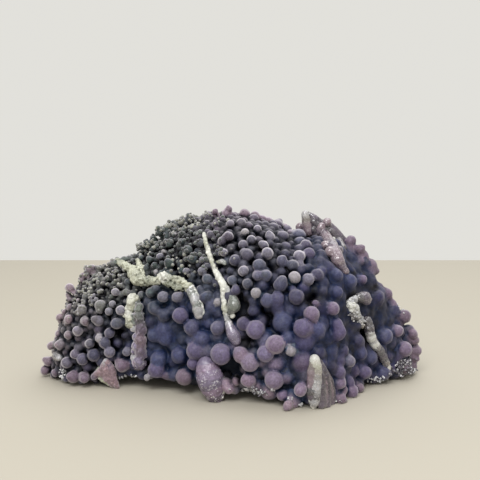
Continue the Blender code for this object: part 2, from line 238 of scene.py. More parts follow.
LEFT_LOW = (
    (78, 331, 5, "f"), (68.5, 335, 4.5, ""), (59.5, 333.5, 4, "m"), (61.5, 344, 5.3, ""),
    (51.5, 345.5, 4, "m"), (48.5, 361.5, 5, "m"), (45.5, 370, 5, "m"), (56, 373, 4, "m"),
    (73.5, 376.5, 6.5, "m"), (84, 377, 6, "m"), (67, 362.5, 6, ""), (75, 354, 4.8, ""),
    (82.5, 359, 6, ""), (94, 355, 6.5, ""), (90, 343.5, 5, ""), (99.5, 338, 4.2, "w"),
    (109.5, 333, 5.5, ""), (105, 343, 6, ""), (109.5, 352, 5.5, "f"), (126.5, 352, 4.5, "f"),
    (125.5, 335, 4, "d"), (122.5, 365, 7, "m"),
)
print("on the left:", len(LEFT_EDGE + LEFT + LEFT_LOW))

# %% The grapes at the upper left
UPPER_LEFT = (
    (170.5, 222.5, 3, ""), (176.5, 221.5, 2.5, ""), (160, 229.5, 3, ""), (165, 226.5, 2.5, ""),
    (152.5, 240, 2.5, ""), (180, 227.5, 2.5, ""), (175.5, 234.5, 2.2, "w"), (170, 244.5, 4, ""),
    (160, 256.5, 3.5, "f"), (162, 263, 3, ""), (163.5, 251.5, 2.2, "w"), (147, 268, 3.5, ""),
    (155, 265.5, 3.5, ""), (156, 272, 2.5, "w"), (161.5, 272.5, 3, ""), (168.5, 273.5, 3.5, ""),
    (150, 260.5, 4, ""), (169.5, 263.5, 5, ""), (181.5, 242.5, 4, ""), (187.5, 250.5, 5.5, ""),
    (132.5, 261, 2.5, ""), (141.5, 258, 3, ""), (128, 282.5, 4, "d"), (126, 292.5, 3.6, ""),
    (129, 293.5, 3.2, ""), (120.5, 286, 3, ""),
)
UPPER_LEFT_RIM = (
    (88, 268.5, 3.5, "m"), (112, 264, 3.5, ""), (118, 262, 4, ""), (124, 260, 4, ""),
    (129.5, 259, 4, ""), (142, 248, 4, ""), (148, 244.5, 4.5, ""), (154, 240, 4, ""),
    (160, 232, 4.5, ""), (167, 229, 4.5, ""), (172.5, 231, 3.5, ""), (178, 225.5, 4.5, ""),
    (184.5, 222.5, 4.5, ""), (190, 219, 5, ""), (196.5, 221, 4.5, ""), (203, 219.5, 4.5, ""),
    (208.5, 217.5, 4.5, "m"),
)
print("at the upper left:", len(UPPER_LEFT + UPPER_LEFT_RIM))

# %% The grapes on top
TOP = (
    (228.5, 209.5, 4, "m"), (214.5, 212, 3.3, "m"), (226, 215.5, 5, "m"), (208.5, 216, 5, ""),
    (245, 214.5, 5.5, "m"), (255, 216.5, 5.5, "m"), (262, 219.5, 5, "m"), (268.5, 223, 5.5, "m"),
    (276, 225.5, 5, "m"), (284, 229, 5, "m"), (290.5, 234.5, 4.5, "m"), (230, 224, 4.2, "f"),
    (215.5, 226, 4, ""), (206.5, 223.5, 3.5, ""), (241, 224.5, 5.5, ""), (249.5, 226.5, 4, ""),
    (245, 232.5, 4.2, "w"), (257.5, 229.5, 4.3, "f"), (251.5, 240, 5, ""), (243, 245, 5, ""),
    (247, 255, 6.5, ""), (243.5, 271, 5.5, "f"), (257.5, 265, 5, ""), (210.5, 235, 4.5, ""),
    (200.5, 243, 4.5, ""), (193, 259, 5, ""), (203, 260.5, 4.2, ""), (202.5, 271, 4.5, "f"),
    (206.5, 266.5, 3.5, ""), (193, 275.5, 3.5, ""), (186.5, 271, 3.5, "f"), (224, 252.5, 4, "f"),
    (222, 241.5, 4.5, ""), (228.5, 236.5, 5, ""), (235.5, 260.5, 6, ""), (207.5, 279, 5.2, ""),
    (231, 271.5, 5, "d"),
)
TOP_RIGHT = (
    (277.5, 225.5, 6, ""), (282.5, 236.5, 6.3, ""), (270, 237, 5, "f"), (264.5, 245.5, 4.7, "f"),
    (267.5, 254, 6, "f"), (259.5, 265.5, 6.3, ""), (257.5, 275.5, 5.5, ""), (266, 275.5, 6.2, ""),
    (282, 261.5, 5.8, ""), (299, 256.5, 6, "f"), (292.5, 265.5, 6, ""), (309, 254, 6.2, ""),
    (281.5, 273, 5.5, "d"), (294.5, 277.5, 6.3, "w"), (308, 279.5, 6.2, "f"), (317, 275, 6.2, ""),
    (298.5, 236.5, 8, ""), (306, 245.5, 6, ""), (285, 255, 6, "d"),
)
print("on top:", len(TOP + TOP_RIGHT))

# %% The grapes in the middle
CENTRE = (
    (163.5, 297, 5.7, "f"), (177, 297, 5.2, "f"), (154, 307, 6.3, ""), (164.5, 315, 6.5, ""),
    (180.5, 315.5, 8, "l"), (151, 321.5, 6.5, "d"), (141.5, 294.5, 4, ""), (151, 292.5, 5, ""),
    (156, 289.5, 4.5, ""), (141, 306, 4.5, "d"), (164.5, 329.5, 7.7, "b"), (154, 335, 7, "b"),
    (165.5, 338, 8, "b"), (159.5, 359, 9, "b"), (156.5, 369.5, 8.5, "l"), (180, 355, 9, "b"),
    (184.5, 376.5, 8.7, "m"), (191.5, 327.5, 8, ""), (195, 351, 8.5, "l"), (193.5, 363.5, 6.5, "l"),
    (146.5, 378, 3.5, "w"), (166.5, 375.5, 4, "m"), (201, 290.5, 4.5, ""), (208.5, 295.5, 5, ""),
    (203.5, 298.5, 5, ""), (218, 302, 3.7, "w"), (232.5, 280.5, 5.2, ""), (236, 290.5, 5, ""),
    (247.5, 284, 5.5, ""), (256, 293, 5.2, "w"), (218, 327.5, 7, ""), (206, 315, 6, "d"),
    (218.5, 314, 5, "d"), (203, 338.5, 8, "b"), (221, 354, 10.5, "l"), (244, 323.5, 7, ""),
    (255.5, 329.5, 9.5, "l"), (254, 311, 7, "d"), (253.5, 343.5, 3.5, "d"), (226, 383.5, 6, "m"),
    (229, 389, 5, "m"), (236, 381, 4, "m"), (241, 355, 8, ""), (250, 362.5, 9.2, "l"),
    (248.5, 380.5, 7.2, "p"),
)
CENTRE_RIGHT = (
    (280.5, 285, 7, ""), (267, 300.5, 6.8, ""), (278, 299, 6.8, ""), (278, 308, 8, "d"),
    (296.5, 297, 8, ""), (292.5, 289, 4, ""), (283, 323, 10.5, "b"), (311.5, 314, 8, "p"),
    (315, 303.5, 3.8, "p"), (302.5, 328, 9.3, "l"), (332.5, 308.5, 6.7, "p"), (336, 324, 6.5, "l"),
    (337.5, 333, 7.7, "l"), (275.5, 344.5, 9.5, "p"), (265.5, 353.5, 8.7, "l"), (290.5, 351, 5.4, "w"),
    (317.5, 331, 8, "b"), (289, 338, 7, "b"), (274, 380, 9.5, "l"), (300.5, 389.5, 6.5, "p"),
    (288, 406, 5, "m"), (282.5, 395, 6, "l"),
)
print("in the middle:", len(CENTRE + CENTRE_RIGHT))

# %% The grapes on the right
RIGHT_TOP = (
    (349.5, 242.5, 5.5, "m"), (349, 250.5, 6.5, "m"), (359, 250.5, 4.5, "m"), (363.5, 256, 5, "m"),
    (371, 263, 4.5, "m"), (361.5, 262, 7, ""), (369, 269.5, 6, "m"), (362.5, 279.5, 4.7, "p"),
    (375.5, 271.5, 3.5, "m"), (379, 287, 4, "m"), (371.5, 282, 5, "d"), (349, 281.5, 8, "b"),
    (336, 276, 7, "b"), (336, 292.5, 7, "b"), (379.5, 292.5, 5.5, ""), (387, 294.5, 4.5, "m"),
    (377, 297, 6, ""), (383, 294.5, 5, ""),
)
RIGHT = (
    (349, 312.5, 3.5, "d"), (355.5, 325, 6, "d"), (357, 340, 6.4, ""), (397, 331, 6.2, "p"),
    (408, 329.5, 5.2, ""), (415, 333, 5, "m"), (404.5, 349, 7.8, "p"), (404, 315.5, 4.5, "m"),
    (392.5, 311.5, 6, ""), (385, 336, 8.2, "b"), (348, 361, 6.5, "f"), (343.5, 350.5, 5.5, ""),
    (359.5, 353, 7, "b"), (369.5, 357, 8, "b"), (363.5, 372, 7, "l"), (382.5, 372, 8, "b"),
    (415.5, 345, 3.4, "m"), (416, 352.5, 3.4, "m"), (415, 359, 3.2, "m"), (339.5, 382.5, 6.5, "p"),
    (348, 381, 6, "l"), (338.5, 372, 6.5, "l"), (351.5, 391.5, 6.5, "p"), (359.5, 388, 5, "m"),
    (340.5, 399, 6.3, "m"), (348, 405, 3.5, "m"), (403.5, 366.5, 6.4, "m"), (411.5, 366, 5, "m"),
    (392, 303.5, 4.5, "m"), (406, 317.5, 5, "m"), (416.5, 340, 4.5, "m"), (417, 350, 4.5, "m"),
)
print("on the right:", len(RIGHT_TOP + RIGHT))

# %% [markdown]
# A look also says how a grape stands. Frosted, white and pink ones stand out from the crust like
# beads, and dark and blue ones lie sunk between their neighbours and melt into them. At the stone's
# outline a sight line only passes the mound by, so a grape that would end up out in the air is
# pulled back towards the mound. Many a grape has a smaller one growing on it, a bud.

# %% The looks
LOOKS = {
    # letter: (colour to go towards, how far, how frosted, how far out in radii, melting against its zone's)
    "": (None, 0.0, 0.6, 0.6, 0.8),
    "f": ((0.170, 0.160, 0.205), 0.6, 1.0, 1.0, 0.45),
    "w": ((0.30, 0.28, 0.29), 0.75, 1.0, 1.05, 0.4),
    "d": ((0.022, 0.023, 0.048), 0.6, 0.2, -0.1, 1.0),
    "p": ((0.175, 0.125, 0.190), 0.7, 0.9, 0.95, 0.4),
    "m": ((0.185, 0.128, 0.165), 0.65, 0.7, 0.6, 0.7),
    "l": ((0.115, 0.090, 0.170), 0.6, 0.6, 0.65, 0.6),
    "b": ((0.047, 0.055, 0.122), 0.6, 0.35, 0.2, 1.1),
}
print("looks:", len(LOOKS))

# %% Placing the grapes
PLACED = (
    LEFT_EDGE + LEFT + LEFT_LOW + UPPER_LEFT + UPPER_LEFT_RIM + TOP + TOP_RIGHT
    + RIGHT_TOP + CENTRE + CENTRE_RIGHT + RIGHT
)
FREE_RISE = 2.4  # how far above the mound a grape's middle may lie, in millimetres
FURTHEST = 0.35  # and how much further, in radii, on top of how far its look takes it out
BUD_LOOKS = ("", "f", "m")
BUD_SHARE = 0.4  # how many of these carry a bud
BUD_REACH = 0.7  # how far out a bud sits, in radii of its grape
BUD_SPREAD = 0.8  # how far it leans away from the direction in which the grape grows
BUD_SIZES = (0.5, 0.75)
bud_chance = np.random.default_rng(3)
middles, directions, radii, looks = [], [], [], []


def add_grape(middle, direction, radius, look):
    """Notes one grape: its middle, the direction it grows in, its radius in millimetres, its look."""
    middles.append(middle)
    directions.append(direction)
    radii.append(radius)
    looks.append(look)


for x, y, radius, look in PLACED:
    point, normal = on_mound(x, y)
    size = radius * (point - EYE).dot(AHEAD) / FOCAL_PIXELS
    standing = LOOKS[look][3]
    middle = point - sight_line(x, y) * standing * size
    nearest, _, _, gap = mound.find_nearest(middle)
    furthest = (FURTHEST + max(standing, 0)) * size + FREE_RISE
    if gap > furthest:
        middle = nearest + (middle - nearest) * (furthest / gap)
    add_grape(middle, normal, size, look)
    if look in BUD_LOOKS and bud_chance.random() < BUD_SHARE:
        bud = normal + Vector(bud_chance.normal(0, BUD_SPREAD, 3))
        bud_middle = middle + bud.normalized() * size * BUD_REACH
        add_grape(bud_middle, normal, size * bud_chance.uniform(*BUD_SIZES), look)
print("placed:", len(PLACED), "grapes and", len(middles) - len(PLACED), "buds, radii",
      round(min(radii), 1), "to", round(max(radii), 1), "mm")

# %% [markdown]
# ## Growth zones
# The grapes are fine and grey green at the upper left, mauve along the left rim, and big, blue violet
# and half melted together low in the middle and on the right. A handful of named zones says this. Each
# has a middle and a spread in pixels, and a place on the stone takes a mix of them by how near they
# are. The zones also reach the back, which the photograph doesn't show: it goes on as the front does.

# %% The zones
ZONES = {
    # name: (pixel x, pixel y, spread, colour, grape radius in mm, how much the grapes melt together in mm)
    "upper left crust": (160, 243, 34, (0.031, 0.046, 0.045), 1.3, 0.3),
    "left shoulder": (103, 280, 22, (0.170, 0.178, 0.158), 1.3, 0.35),
    "left rim": (58, 322, 21, (0.330, 0.275, 0.265), 1.9, 0.5),
    "left foot": (88, 345, 26, (0.044, 0.041, 0.088), 2.2, 0.6),
    "crest": (232, 222, 24, (0.100, 0.080, 0.106), 2.0, 0.6),
    "upper middle": (245, 262, 26, (0.068, 0.070, 0.104), 2.3, 0.5),
    "upper right": (294, 256, 24, (0.084, 0.075, 0.118), 2.6, 0.6),
    "right shoulder": (338, 266, 18, (0.034, 0.034, 0.080), 3.2, 2.6),
    "low middle": (178, 340, 30, (0.046, 0.052, 0.108), 3.9, 2.2),
    "middle": (280, 322, 34, (0.054, 0.053, 0.120), 3.9, 1.6),
    "front foot": (246, 388, 28, (0.350, 0.260, 0.310), 3.4, 1.1),
    "right": (362, 318, 34, (0.030, 0.032, 0.078), 3.7, 3.4),
    "right foot": (352, 380, 26, (0.080, 0.062, 0.110), 3.0, 1.8),
    "right end": (408, 348, 18, (0.140, 0.110, 0.150), 2.7, 1.0),
}
zone_places = np.array([zone[:2] for zone in ZONES.values()], float)
zone_spreads = np.array([zone[2] for zone in ZONES.values()], float)
zone_values = np.array([(*zone[3], zone[4], zone[5]) for zone in ZONES.values()])


def zone_mix(points):
    """Red, green, blue, grape radius and melting at each point."""
    away = np.linalg.norm(pixels(points)[:, None] - zone_places[None], axis=2) / zone_spreads
    share = np.exp(-0.5 * away ** 2) + 1e-9
    return (share @ zone_values) / share.sum(1, keepdims=True)


print("zones:", ", ".join(ZONES))

# %% [markdown]
# ## Ridges, fingers and fins
# Between the grapes run crusts of fine pale quartz: it grew over threads and edges and stands up as
# ridges, fingers and a hanging cone. A curve with a round bevel would give a smooth worm. These are
# built as the crust is, from many small balls along a line, but on a finer grid. Each has a finish,
# and then says how deep its surface ripples, how unevenly its balls lie and how many crumbs grow on
# it, before its runs of stations. A station has a place in pixels, a radius in millimetres, a tint,
# and how frosted it is, from clear at 0 to white at 1.

# %% The tints
CREAM, WHITE, SAGE = (0.34, 0.345, 0.27), (0.54, 0.54, 0.50), (0.115, 0.13, 0.115)
MAUVE, PLUM, TAN = (0.095, 0.074, 0.105), (0.045, 0.034, 0.050), (0.19, 0.17, 0.155)
ROSE, LILAC, SMOKE = (0.165, 0.118, 0.145), (0.150, 0.125, 0.190), (0.075, 0.070, 0.078)
ORCHID, BLUSH = (0.230, 0.168, 0.240), (0.240, 0.165, 0.185)
SILVER, OLIVE = (0.32, 0.32, 0.335), (0.17, 0.18, 0.13)
RIDGES = {}  # name: (finish, ripple in mm, unevenness, share of crumbs, runs of stations)
print("palest tint:", WHITE, "darkest tint:", PLUM)

# %% The cream crusts of the left and the middle
RIDGES["crust_left"] = ("crust", 0.38, 1.0, 2.0, (
    ((117, 261, 1.0, OLIVE, 1), (123, 265, 1.3, CREAM, 1), (130, 268.5, 2.0, CREAM, 1),
     (135.5, 274, 2.6, CREAM, 1), (140, 280, 2.9, CREAM, 1), (148, 282, 2.3, OLIVE, 1),
     (157, 280.5, 2.1, CREAM, 1), (163.5, 277, 2.4, WHITE, 1), (173, 279, 1.8, OLIVE, 1),
     (181, 281.5, 1.8, CREAM, 1), (187, 286, 1.9, CREAM, 1), (191, 291, 1.6, CREAM, 1)),
    ((138.5, 261.5, 1.0, CREAM, 1), (141.5, 268, 1.3, CREAM, 1), (140, 276, 1.8, CREAM, 1)),
    ((164, 281, 1.7, OLIVE, 1), (173, 284, 1.6, OLIVE, 1), (181, 288, 1.5, OLIVE, 1)),
))
RIDGES["crust_left_end"] = ("smoky", 0.08, 0.3, 0.2, (
    ((189, 288, 1.8, SILVER, 0.9), (192, 293, 2.1, SAGE, 0.6), (194.5, 299, 2.3, SILVER, 0.6),
     (196.8, 305.5, 2.3, SAGE, 0.6), (198, 311, 2.3, SILVER, 0.7), (199, 315, 2.0, SILVER, 0.9)),
    ((191, 287, 1.1, WHITE, 1), (196, 292, 1.1, WHITE, 1), (199, 299, 1.1, WHITE, 1),
     (201.5, 307, 1.1, WHITE, 1), (202.5, 313.5, 1.1, WHITE, 1)),
))
RIDGES["crust_long"] = ("crust", 0.10, 0.35, 0.3, (
    ((204, 234, 0.9, WHITE, 1), (206, 243, 1.05, CREAM, 1), (209, 253, 1.1, WHITE, 1),
     (212.5, 263, 1.1, CREAM, 1), (215.7, 271, 1.2, WHITE, 1), (220, 279, 1.5, WHITE, 1),
     (223.5, 286, 1.7, WHITE, 1), (223, 293, 1.2, WHITE, 1), (223.9, 301, 1.2, WHITE, 1),
     (225, 309, 1.2, CREAM, 1), (226.4, 317, 1.2, SILVER, 0.8), (229, 323, 1.3, SILVER, 0.6)),
    ((224, 286, 1.4, WHITE, 1), (228, 292, 1.0, SILVER, 0.8), (228.5, 298, 0.9, SILVER, 0.7)),
    ((218.5, 262, 0.9, OLIVE, 1), (222, 261, 1.2, SILVER, 0.9), (225, 263, 1.0, SAGE, 0.8)),
    ((232.6, 316, 1.25, WHITE, 0.9),),
))
RIDGES["fan_and_tip"] = ("smoky", 0.06, 0.2, 0.15, (
    ((233, 299, 1.9, SAGE, 0.4), (234, 305, 3.1, SAGE, 0.4), (231, 311, 1.8, SAGE, 0.4)),
    ((228.5, 322.5, 1.6, SILVER, 0.8), (230.5, 329, 2.1, LILAC, 0.5), (234, 335.5, 2.9, LILAC, 0.4),
     (236.5, 341, 2.1, LILAC, 0.4)),
))
print("ridges so far:", len(RIDGES))

# %% The column
RIDGES["column_edge"] = ("crust", 0.26, 0.9, 1.4, (
    ((137, 298, 1.7, CREAM, 1), (131, 298.5, 2.4, WHITE, 1), (130, 305, 2.3, CREAM, 1),
     (133, 309, 2.1, OLIVE, 1)),
    ((130, 306, 2.1, CREAM, 1), (128.5, 314, 2.1, WHITE, 1), (129.5, 321, 2.2, CREAM, 0.9),
     (131.5, 326, 1.6, CREAM, 0.8)),
))
RIDGES["column"] = ("velvet", 0.24, 0.7, 1.2, (
    ((138, 303, 1.8, SAGE, 0.8), (138.5, 311, 2.3, SAGE, 0.7), (139.5, 320, 2.4, SMOKE, 0.6),
     (140.5, 330, 2.5, MAUVE, 0.6), (140.5, 341, 2.7, ROSE, 0.7), (140.5, 352, 2.8, MAUVE, 0.7),
     (140, 361, 3.1, LILAC, 0.8)),
    ((133, 317, 2.0, SAGE, 0.9), (134, 324, 1.9, SAGE, 0.9)),
))
RIDGES["column_beads"] = ("velvet", 0.08, 0.1, 0.2, (
    ((134, 328.3, 1.7, SILVER, 1),),
    ((137, 337, 2.2, LILAC, 1),),
    ((136.8, 346, 2.4, LILAC, 1),),
    ((134.5, 351.5, 1.6, LILAC, 1),),
    ((134.3, 357.2, 1.8, SILVER, 1),),
    ((137, 362, 2.4, ORCHID, 1),),
))
RIDGES["column_foot"] = ("druse", 0.14, 0.3, 0.8, (
    ((136, 364.5, 2.2, LILAC, 1), (139.5, 366, 2.6, MAUVE, 0.8), (143, 363.5, 2.0, MAUVE, 0.5)),
))
print("ridges so far:", len(RIDGES))

# %% The cone, the finger and its wing in front
RIDGES["hanging_cone"] = ("druse", 0.18, 0.2, 0.6, (
    ((206, 365.5, 4.2, LILAC, 0.2), (207.5, 371, 5.6, ORCHID, 0.3), (210, 378.5, 6.0, LILAC, 0.4),
     (212.5, 386, 5.4, ORCHID, 0.6), (214.5, 393.5, 4.3, MAUVE, 0.75), (216.5, 400, 3.0, ORCHID, 1),
     (217.5, 404, 1.8, WHITE, 1)),
    ((220, 376, 1.9, MAUVE, 0.5), (221.5, 383, 1.9, SILVER, 0.9), (221, 390, 1.9, WHITE, 1),
     (219.5, 397, 1.7, WHITE, 1)),
))
RIDGES["front_finger"] = ("smoky", 0.08, 0.25, 0.25, (
    ((314, 359.5, 2.5, WHITE, 1), (317, 366, 2.3, CREAM, 0.8), (317, 373, 2.2, TAN, 0.5),
     (316.5, 381, 2.4, SILVER, 1), (316, 389, 2.5, SILVER, 0.8), (315.5, 396, 2.4, SMOKE, 0.6),
     (315, 402, 2.3, SILVER, 0.9)),
    ((312, 364, 2.0, TAN, 0.2), (311.5, 374, 2.2, ROSE, 0.2), (311.5, 384, 2.1, ROSE, 0.2),
     (311.5, 396, 2.0, MAUVE, 0.3)),
    ((310.8, 390.5, 2.4, SMOKE, 0.2),),
    ((310.5, 400, 1.2, WHITE, 1), (313.5, 403, 1.4, WHITE, 1), (313, 407, 1.0, WHITE, 1)),
))
RIDGES["front_wing"] = ("smoky", 0.06, 0.25, 0.0, (
    ((318, 360, 1.2, PLUM, 0.2), (321, 372, 1.6, PLUM, 0.2), (321.5, 388, 1.9, PLUM, 0.2),
     (321, 405, 1.9, MAUVE, 0.2)),
    ((319, 361, 1.0, ROSE, 0.2), (324, 374, 1.0, ROSE, 0.2), (324.5, 390, 1.1, ROSE, 0.2),
     (324, 405, 1.3, MAUVE, 0.2)),
    ((320, 362, 1.2, PLUM, 0.2), (326, 375, 1.5, PLUM, 0.2), (327.5, 390, 1.7, PLUM, 0.2),
     (327, 405, 1.7, MAUVE, 0.2)),
    ((322, 364, 0.9, MAUVE, 0.2), (328, 376, 0.9, ROSE, 0.2), (331, 391, 1.0, ROSE, 0.2),
     (330.5, 405, 1.2, MAUVE, 0.2)),
    ((326, 371, 0.9, PLUM, 0.2), (331, 381, 1.1, PLUM, 0.2), (333, 393, 1.2, PLUM, 0.2),
     (333, 404, 1.2, MAUVE, 0.2)),
))
print("ridges so far:", len(RIDGES))

# %% The finger and the lip on the crest
RIDGES["crest_finger"] = ("smoky", 0.07, 0.15, 0.1, (
    ((305, 214, 1.9, SILVER, 0.8), (306, 219, 2.2, TAN, 0.4), (307.5, 226, 2.5, ROSE, 0.3),
     (309, 232, 2.6, ROSE, 0.3)),
    ((300, 227, 2.2, ROSE, 0.4),),
    ((321, 227, 2.3, ROSE, 0.4), (319.5, 232, 2.2, MAUVE, 0.3)),
    ((327, 222, 2.1, ROSE, 0.7),),
    ((324.5, 234, 1.1, WHITE, 0.9),),
    ((333, 239.5, 1.3, WHITE, 0.8),),
    ((324, 233, 2.3, MAUVE, 0.3), (328, 240, 2.8, ROSE, 0.3), (332, 247, 3.1, MAUVE, 0.3),
     (335.5, 254, 3.0, ROSE, 0.3), (338, 260, 3.1, ROSE, 0.5), (341.5, 266, 1.9, MAUVE, 0.4),
     (345.5, 271.5, 1.8, ROSE, 0.7)),
    ((325.5, 245.5, 2.2, ROSE, 0.5),),
    ((329.5, 252, 2.4, ROSE, 0.6),),
    ((339, 250, 2.1, MAUVE, 0.4),),
))
RIDGES["crest_lip"] = ("smoky", 0.06, 0.25, 0.0, (
    ((308, 213.5, 1.1, SMOKE, 0.2), (313, 217, 1.6, MAUVE, 0.2), (320, 222, 1.6, PLUM, 0.2),
     (331, 226, 1.5, MAUVE, 0.2), (338, 233, 1.6, MAUVE, 0.2), (345, 242, 1.8, PLUM, 0.2),
     (352, 250, 1.6, MAUVE, 0.2)),
    ((313, 222, 2.0, PLUM, 0.2), (322, 229, 2.0, SMOKE, 0.2), (331, 232, 1.9, PLUM, 0.2),
     (338, 240, 1.9, PLUM, 0.2), (343, 248, 1.7, SMOKE, 0.2)),
    ((313, 229, 2.0, PLUM, 0.2), (316, 236, 1.8, PLUM, 0.2)),
))
print("ridges so far:", len(RIDGES))

# %% The crusts of the right side
RIDGES["crust_right_upper"] = ("druse", 0.34, 1.1, 1.2, (
    ((356, 298.5, 1.9, SILVER, 1), (350.5, 301.5, 1.9, SILVER, 1), (351, 307, 2.2, WHITE, 1),
     (355.5, 313, 2.4, SILVER, 1), (360, 319, 2.1, SILVER, 1), (362.5, 326, 1.5, TAN, 0.8)),
    ((350, 313, 1.3, SMOKE, 0.9), (354, 319, 1.2, SMOKE, 0.9)),
))
RIDGES["crust_right_lobe"] = ("smoky", 0.08, 0.3, 0.2, (
    ((359, 297.5, 2.2, SMOKE, 0.3), (364.5, 297.5, 2.9, MAUVE, 0.3), (367.5, 300, 2.6, MAUVE, 0.3)),
))
# Its white and silver stations are partly white crust and partly painted highlights of the glossy surface.
RIDGES["crust_right_lower"] = ("smoky", 0.10, 0.35, 0.3, (
    ((367, 320, 1.9, SMOKE, 0.3), (369, 326, 2.3, SMOKE, 0.4), (370, 331, 2.4, PLUM, 0.2),
     (371, 336, 2.4, WHITE, 1), (372.5, 340, 2.3, SILVER, 1), (374.5, 343.5, 2.3, WHITE, 1),
     (377, 347.5, 2.2, PLUM, 0.2), (379.5, 351, 2.2, SMOKE, 0.5), (382, 355, 2.1, PLUM, 0.2),
     (384.5, 360, 2.0, SMOKE, 0.4), (386, 364, 1.9, TAN, 0.6), (387, 368, 1.8, WHITE, 1)),
))
print("ridges so far:", len(RIDGES))

# %% The fin and the knob at the left foot
RIDGES["left_fin"] = ("velvet", 0.08, 0.3, 0.3, (
    ((106.5, 361, 1.6, SILVER, 0.9), (104, 367, 1.9, BLUSH, 0.4), (102, 373, 2.0, BLUSH, 0.4)),
    ((107, 363, 1.9, BLUSH, 0.5), (107, 371, 2.2, BLUSH, 0.4), (107.5, 378, 2.2, BLUSH, 0.4)),
    ((108, 364, 1.9, MAUVE, 0.4), (112, 371, 2.1, BLUSH, 0.4), (113, 379, 2.0, BLUSH, 0.4),
     (117.5, 387.5, 1.2, BLUSH, 0.6)),
    ((103, 372, 1.9, BLUSH, 0.4), (109, 379, 1.9, BLUSH, 0.4), (113, 384, 1.6, BLUSH, 0.4)),
    ((104, 368, 1.6, BLUSH, 0.6), (99, 372, 1.7, BLUSH, 0.5), (94, 377, 1.7, MAUVE, 0.6)),
))
RIDGES["left_fin_edge"] = ("crust", 0.10, 0.4, 0.4, (
    ((98, 368.5, 0.8, OLIVE, 1), (99.5, 376, 0.9, CREAM, 1), (105, 381.5, 0.9, CREAM, 1),
     (112, 386, 0.8, CREAM, 1), (118, 389, 0.8, SILVER, 1)),
))
RIDGES["left_knob"] = ("smoky", 0.10, 0.3, 0.4, (
    ((56.3, 355.7, 2.3, SMOKE, 0.9), (59.5, 358.5, 1.4, SILVER, 0.6)),
))
print("ridges so far:", len(RIDGES))

# %% The lines of the ridges
RIDGE_STANDING = 0.55  # how far a ball's middle stands out towards the eye, in its radii
RIDGE_LIFT = 1.2  # and how much further, in millimetres
BALL_GAP = 0.4  # distance between two balls, in mean radii of the run


def line_through(run):
    """Middles, radii, tints and frosts of closely spaced balls along a run of stations."""
    knots, depth = [], None
    for x, y, radius, tint, frost in run:
        point, _ = on_mound(x, y, depth)
        depth = point.y
        middle = point - sight_line(x, y) * (RIDGE_STANDING * radius + RIDGE_LIFT)
        knots.append((*middle, radius, *tint, frost))
    knots = np.array(knots)
    length = np.concatenate(([0], np.cumsum(np.linalg.norm(np.diff(knots[:, :3], axis=0), axis=1))))
    count = int(length[-1] / (BALL_GAP * knots[:, 3].mean())) + 2
    places = np.linspace(0, length[-1], count)
    return np.stack([np.interp(places, length, column) for column in knots.T], 1)


ridge_lines = {}
for name, (*_, runs) in RIDGES.items():
    ridge_lines[name] = np.concatenate([line_through(run) for run in runs])
obstacles = np.concatenate(list(ridge_lines.values()))[:, :4]
print("ridges:", ", ".join(f"{name} {len(line)} balls" for name, line in ridge_lines.items()))

# %% [markdown]
# ## Dark hollows
# At some places the photograph looks into a hollow between the grapes, where it is nearly black. A
# dark spot of paint alone would turn grey under the next lamp. So no grape is filled in there, and the
# core under the grapes is dug out, which makes the hollow a real one. Its walls are also painted near
# black as shade, further below.

# %% The hollows
PITS = (
    # pixel x, pixel y and radius in pixels
    (230, 368, 10), (247, 341, 5), (243, 309, 8), (364, 337, 9), (352, 299, 4), (374, 289, 4),
    (269, 316, 4), (150, 367, 4), (121, 335, 5), (312, 300, 5), (283, 268, 4), (262, 249, 4),
    (237, 377, 6), (240, 297, 5),
)
PIT_SCALE = 0.45  # millimetres of hollow for each pixel of radius
pit_points = np.array([on_mound(x, y)[0] for x, y, _ in PITS])
pit_radii = np.array([PIT_SCALE * radius for _, _, radius in PITS])


def pit_gap(points):
    """How far each point is from the nearest hollow, in millimetres, and below zero inside it."""
    return (np.linalg.norm(points[:, None] - pit_points[None], axis=2) - pit_radii).min(1)


print("hollows:", len(PITS))

# %% [markdown]
# ## Filling in
# Between the placed grapes, and all over the back, the crust goes on. Points are thrown at the mound
# with a fixed seed, and one is kept if no neighbour is too near. It is the same rule that crowds real
# grapes. On the front they sit lower than the placed ones, which stand out from them, and lower
# still wherever all have melted together. A second, deeper layer of smaller ones then shows in the
# gaps, so that no gap ends in a bare wall.

# %% Throwing points at the mound
chance = np.random.default_rng(7)
CRISP_BELOW, MELT_RANGE = 1.6, 1.2  # grapes with less melting than this begin to stand apart, in mm


def thrown(count):
    """Points spread evenly over the mound, with its normals there."""
    face = chance.choice(len(mound_areas), count, p=mound_areas / mound_areas.sum())
    a, b = chance.random((2, count, 1))
    swap = a + b > 1
    a, b = np.where(swap, 1 - a, a), np.where(swap, 1 - b, b)
    corner = mound_corners[face]
    return corner[:, 0] * (1 - a - b) + corner[:, 1] * a + corner[:, 2] * b, mound_normals[face]


def crispness(melting):
    """1 where grapes stand apart and 0 where they have melted together."""
    return np.clip((CRISP_BELOW - melting) / MELT_RANGE, 0, 1)


print("a melting of 1 mm is", round(float(crispness(1)), 2), "crisp")

# %% The filling grapes
LAYERS = (
    # throws, lift in radii, spacing in mean radii, size against the zone's, lowest normal
    (36000, 0.25, 1.52, 1.0, -0.35),
    (24000, -0.95, 1.55, 0.85, -0.30),
)
FILL_SIZES = (0.7, 1.35)
SUNK = 0.62  # how much lower the upper layer sits on the front, in radii
SOFT_SUNK = 0.6  # and how much lower again where the grapes have melted together most
SOFT_FROM, SOFT_RANGE = 2.2, 0.6  # the melting from which on they do, in mm, and until it is in full
RIDGE_ROOM, PIT_ROOM, FOOT_ROOM = 0.45, 0.6, 0.5  # least room to ridges, hollows and the floor, in radii
CELL = 5.0  # neighbours are looked up in cells of this size, in mm


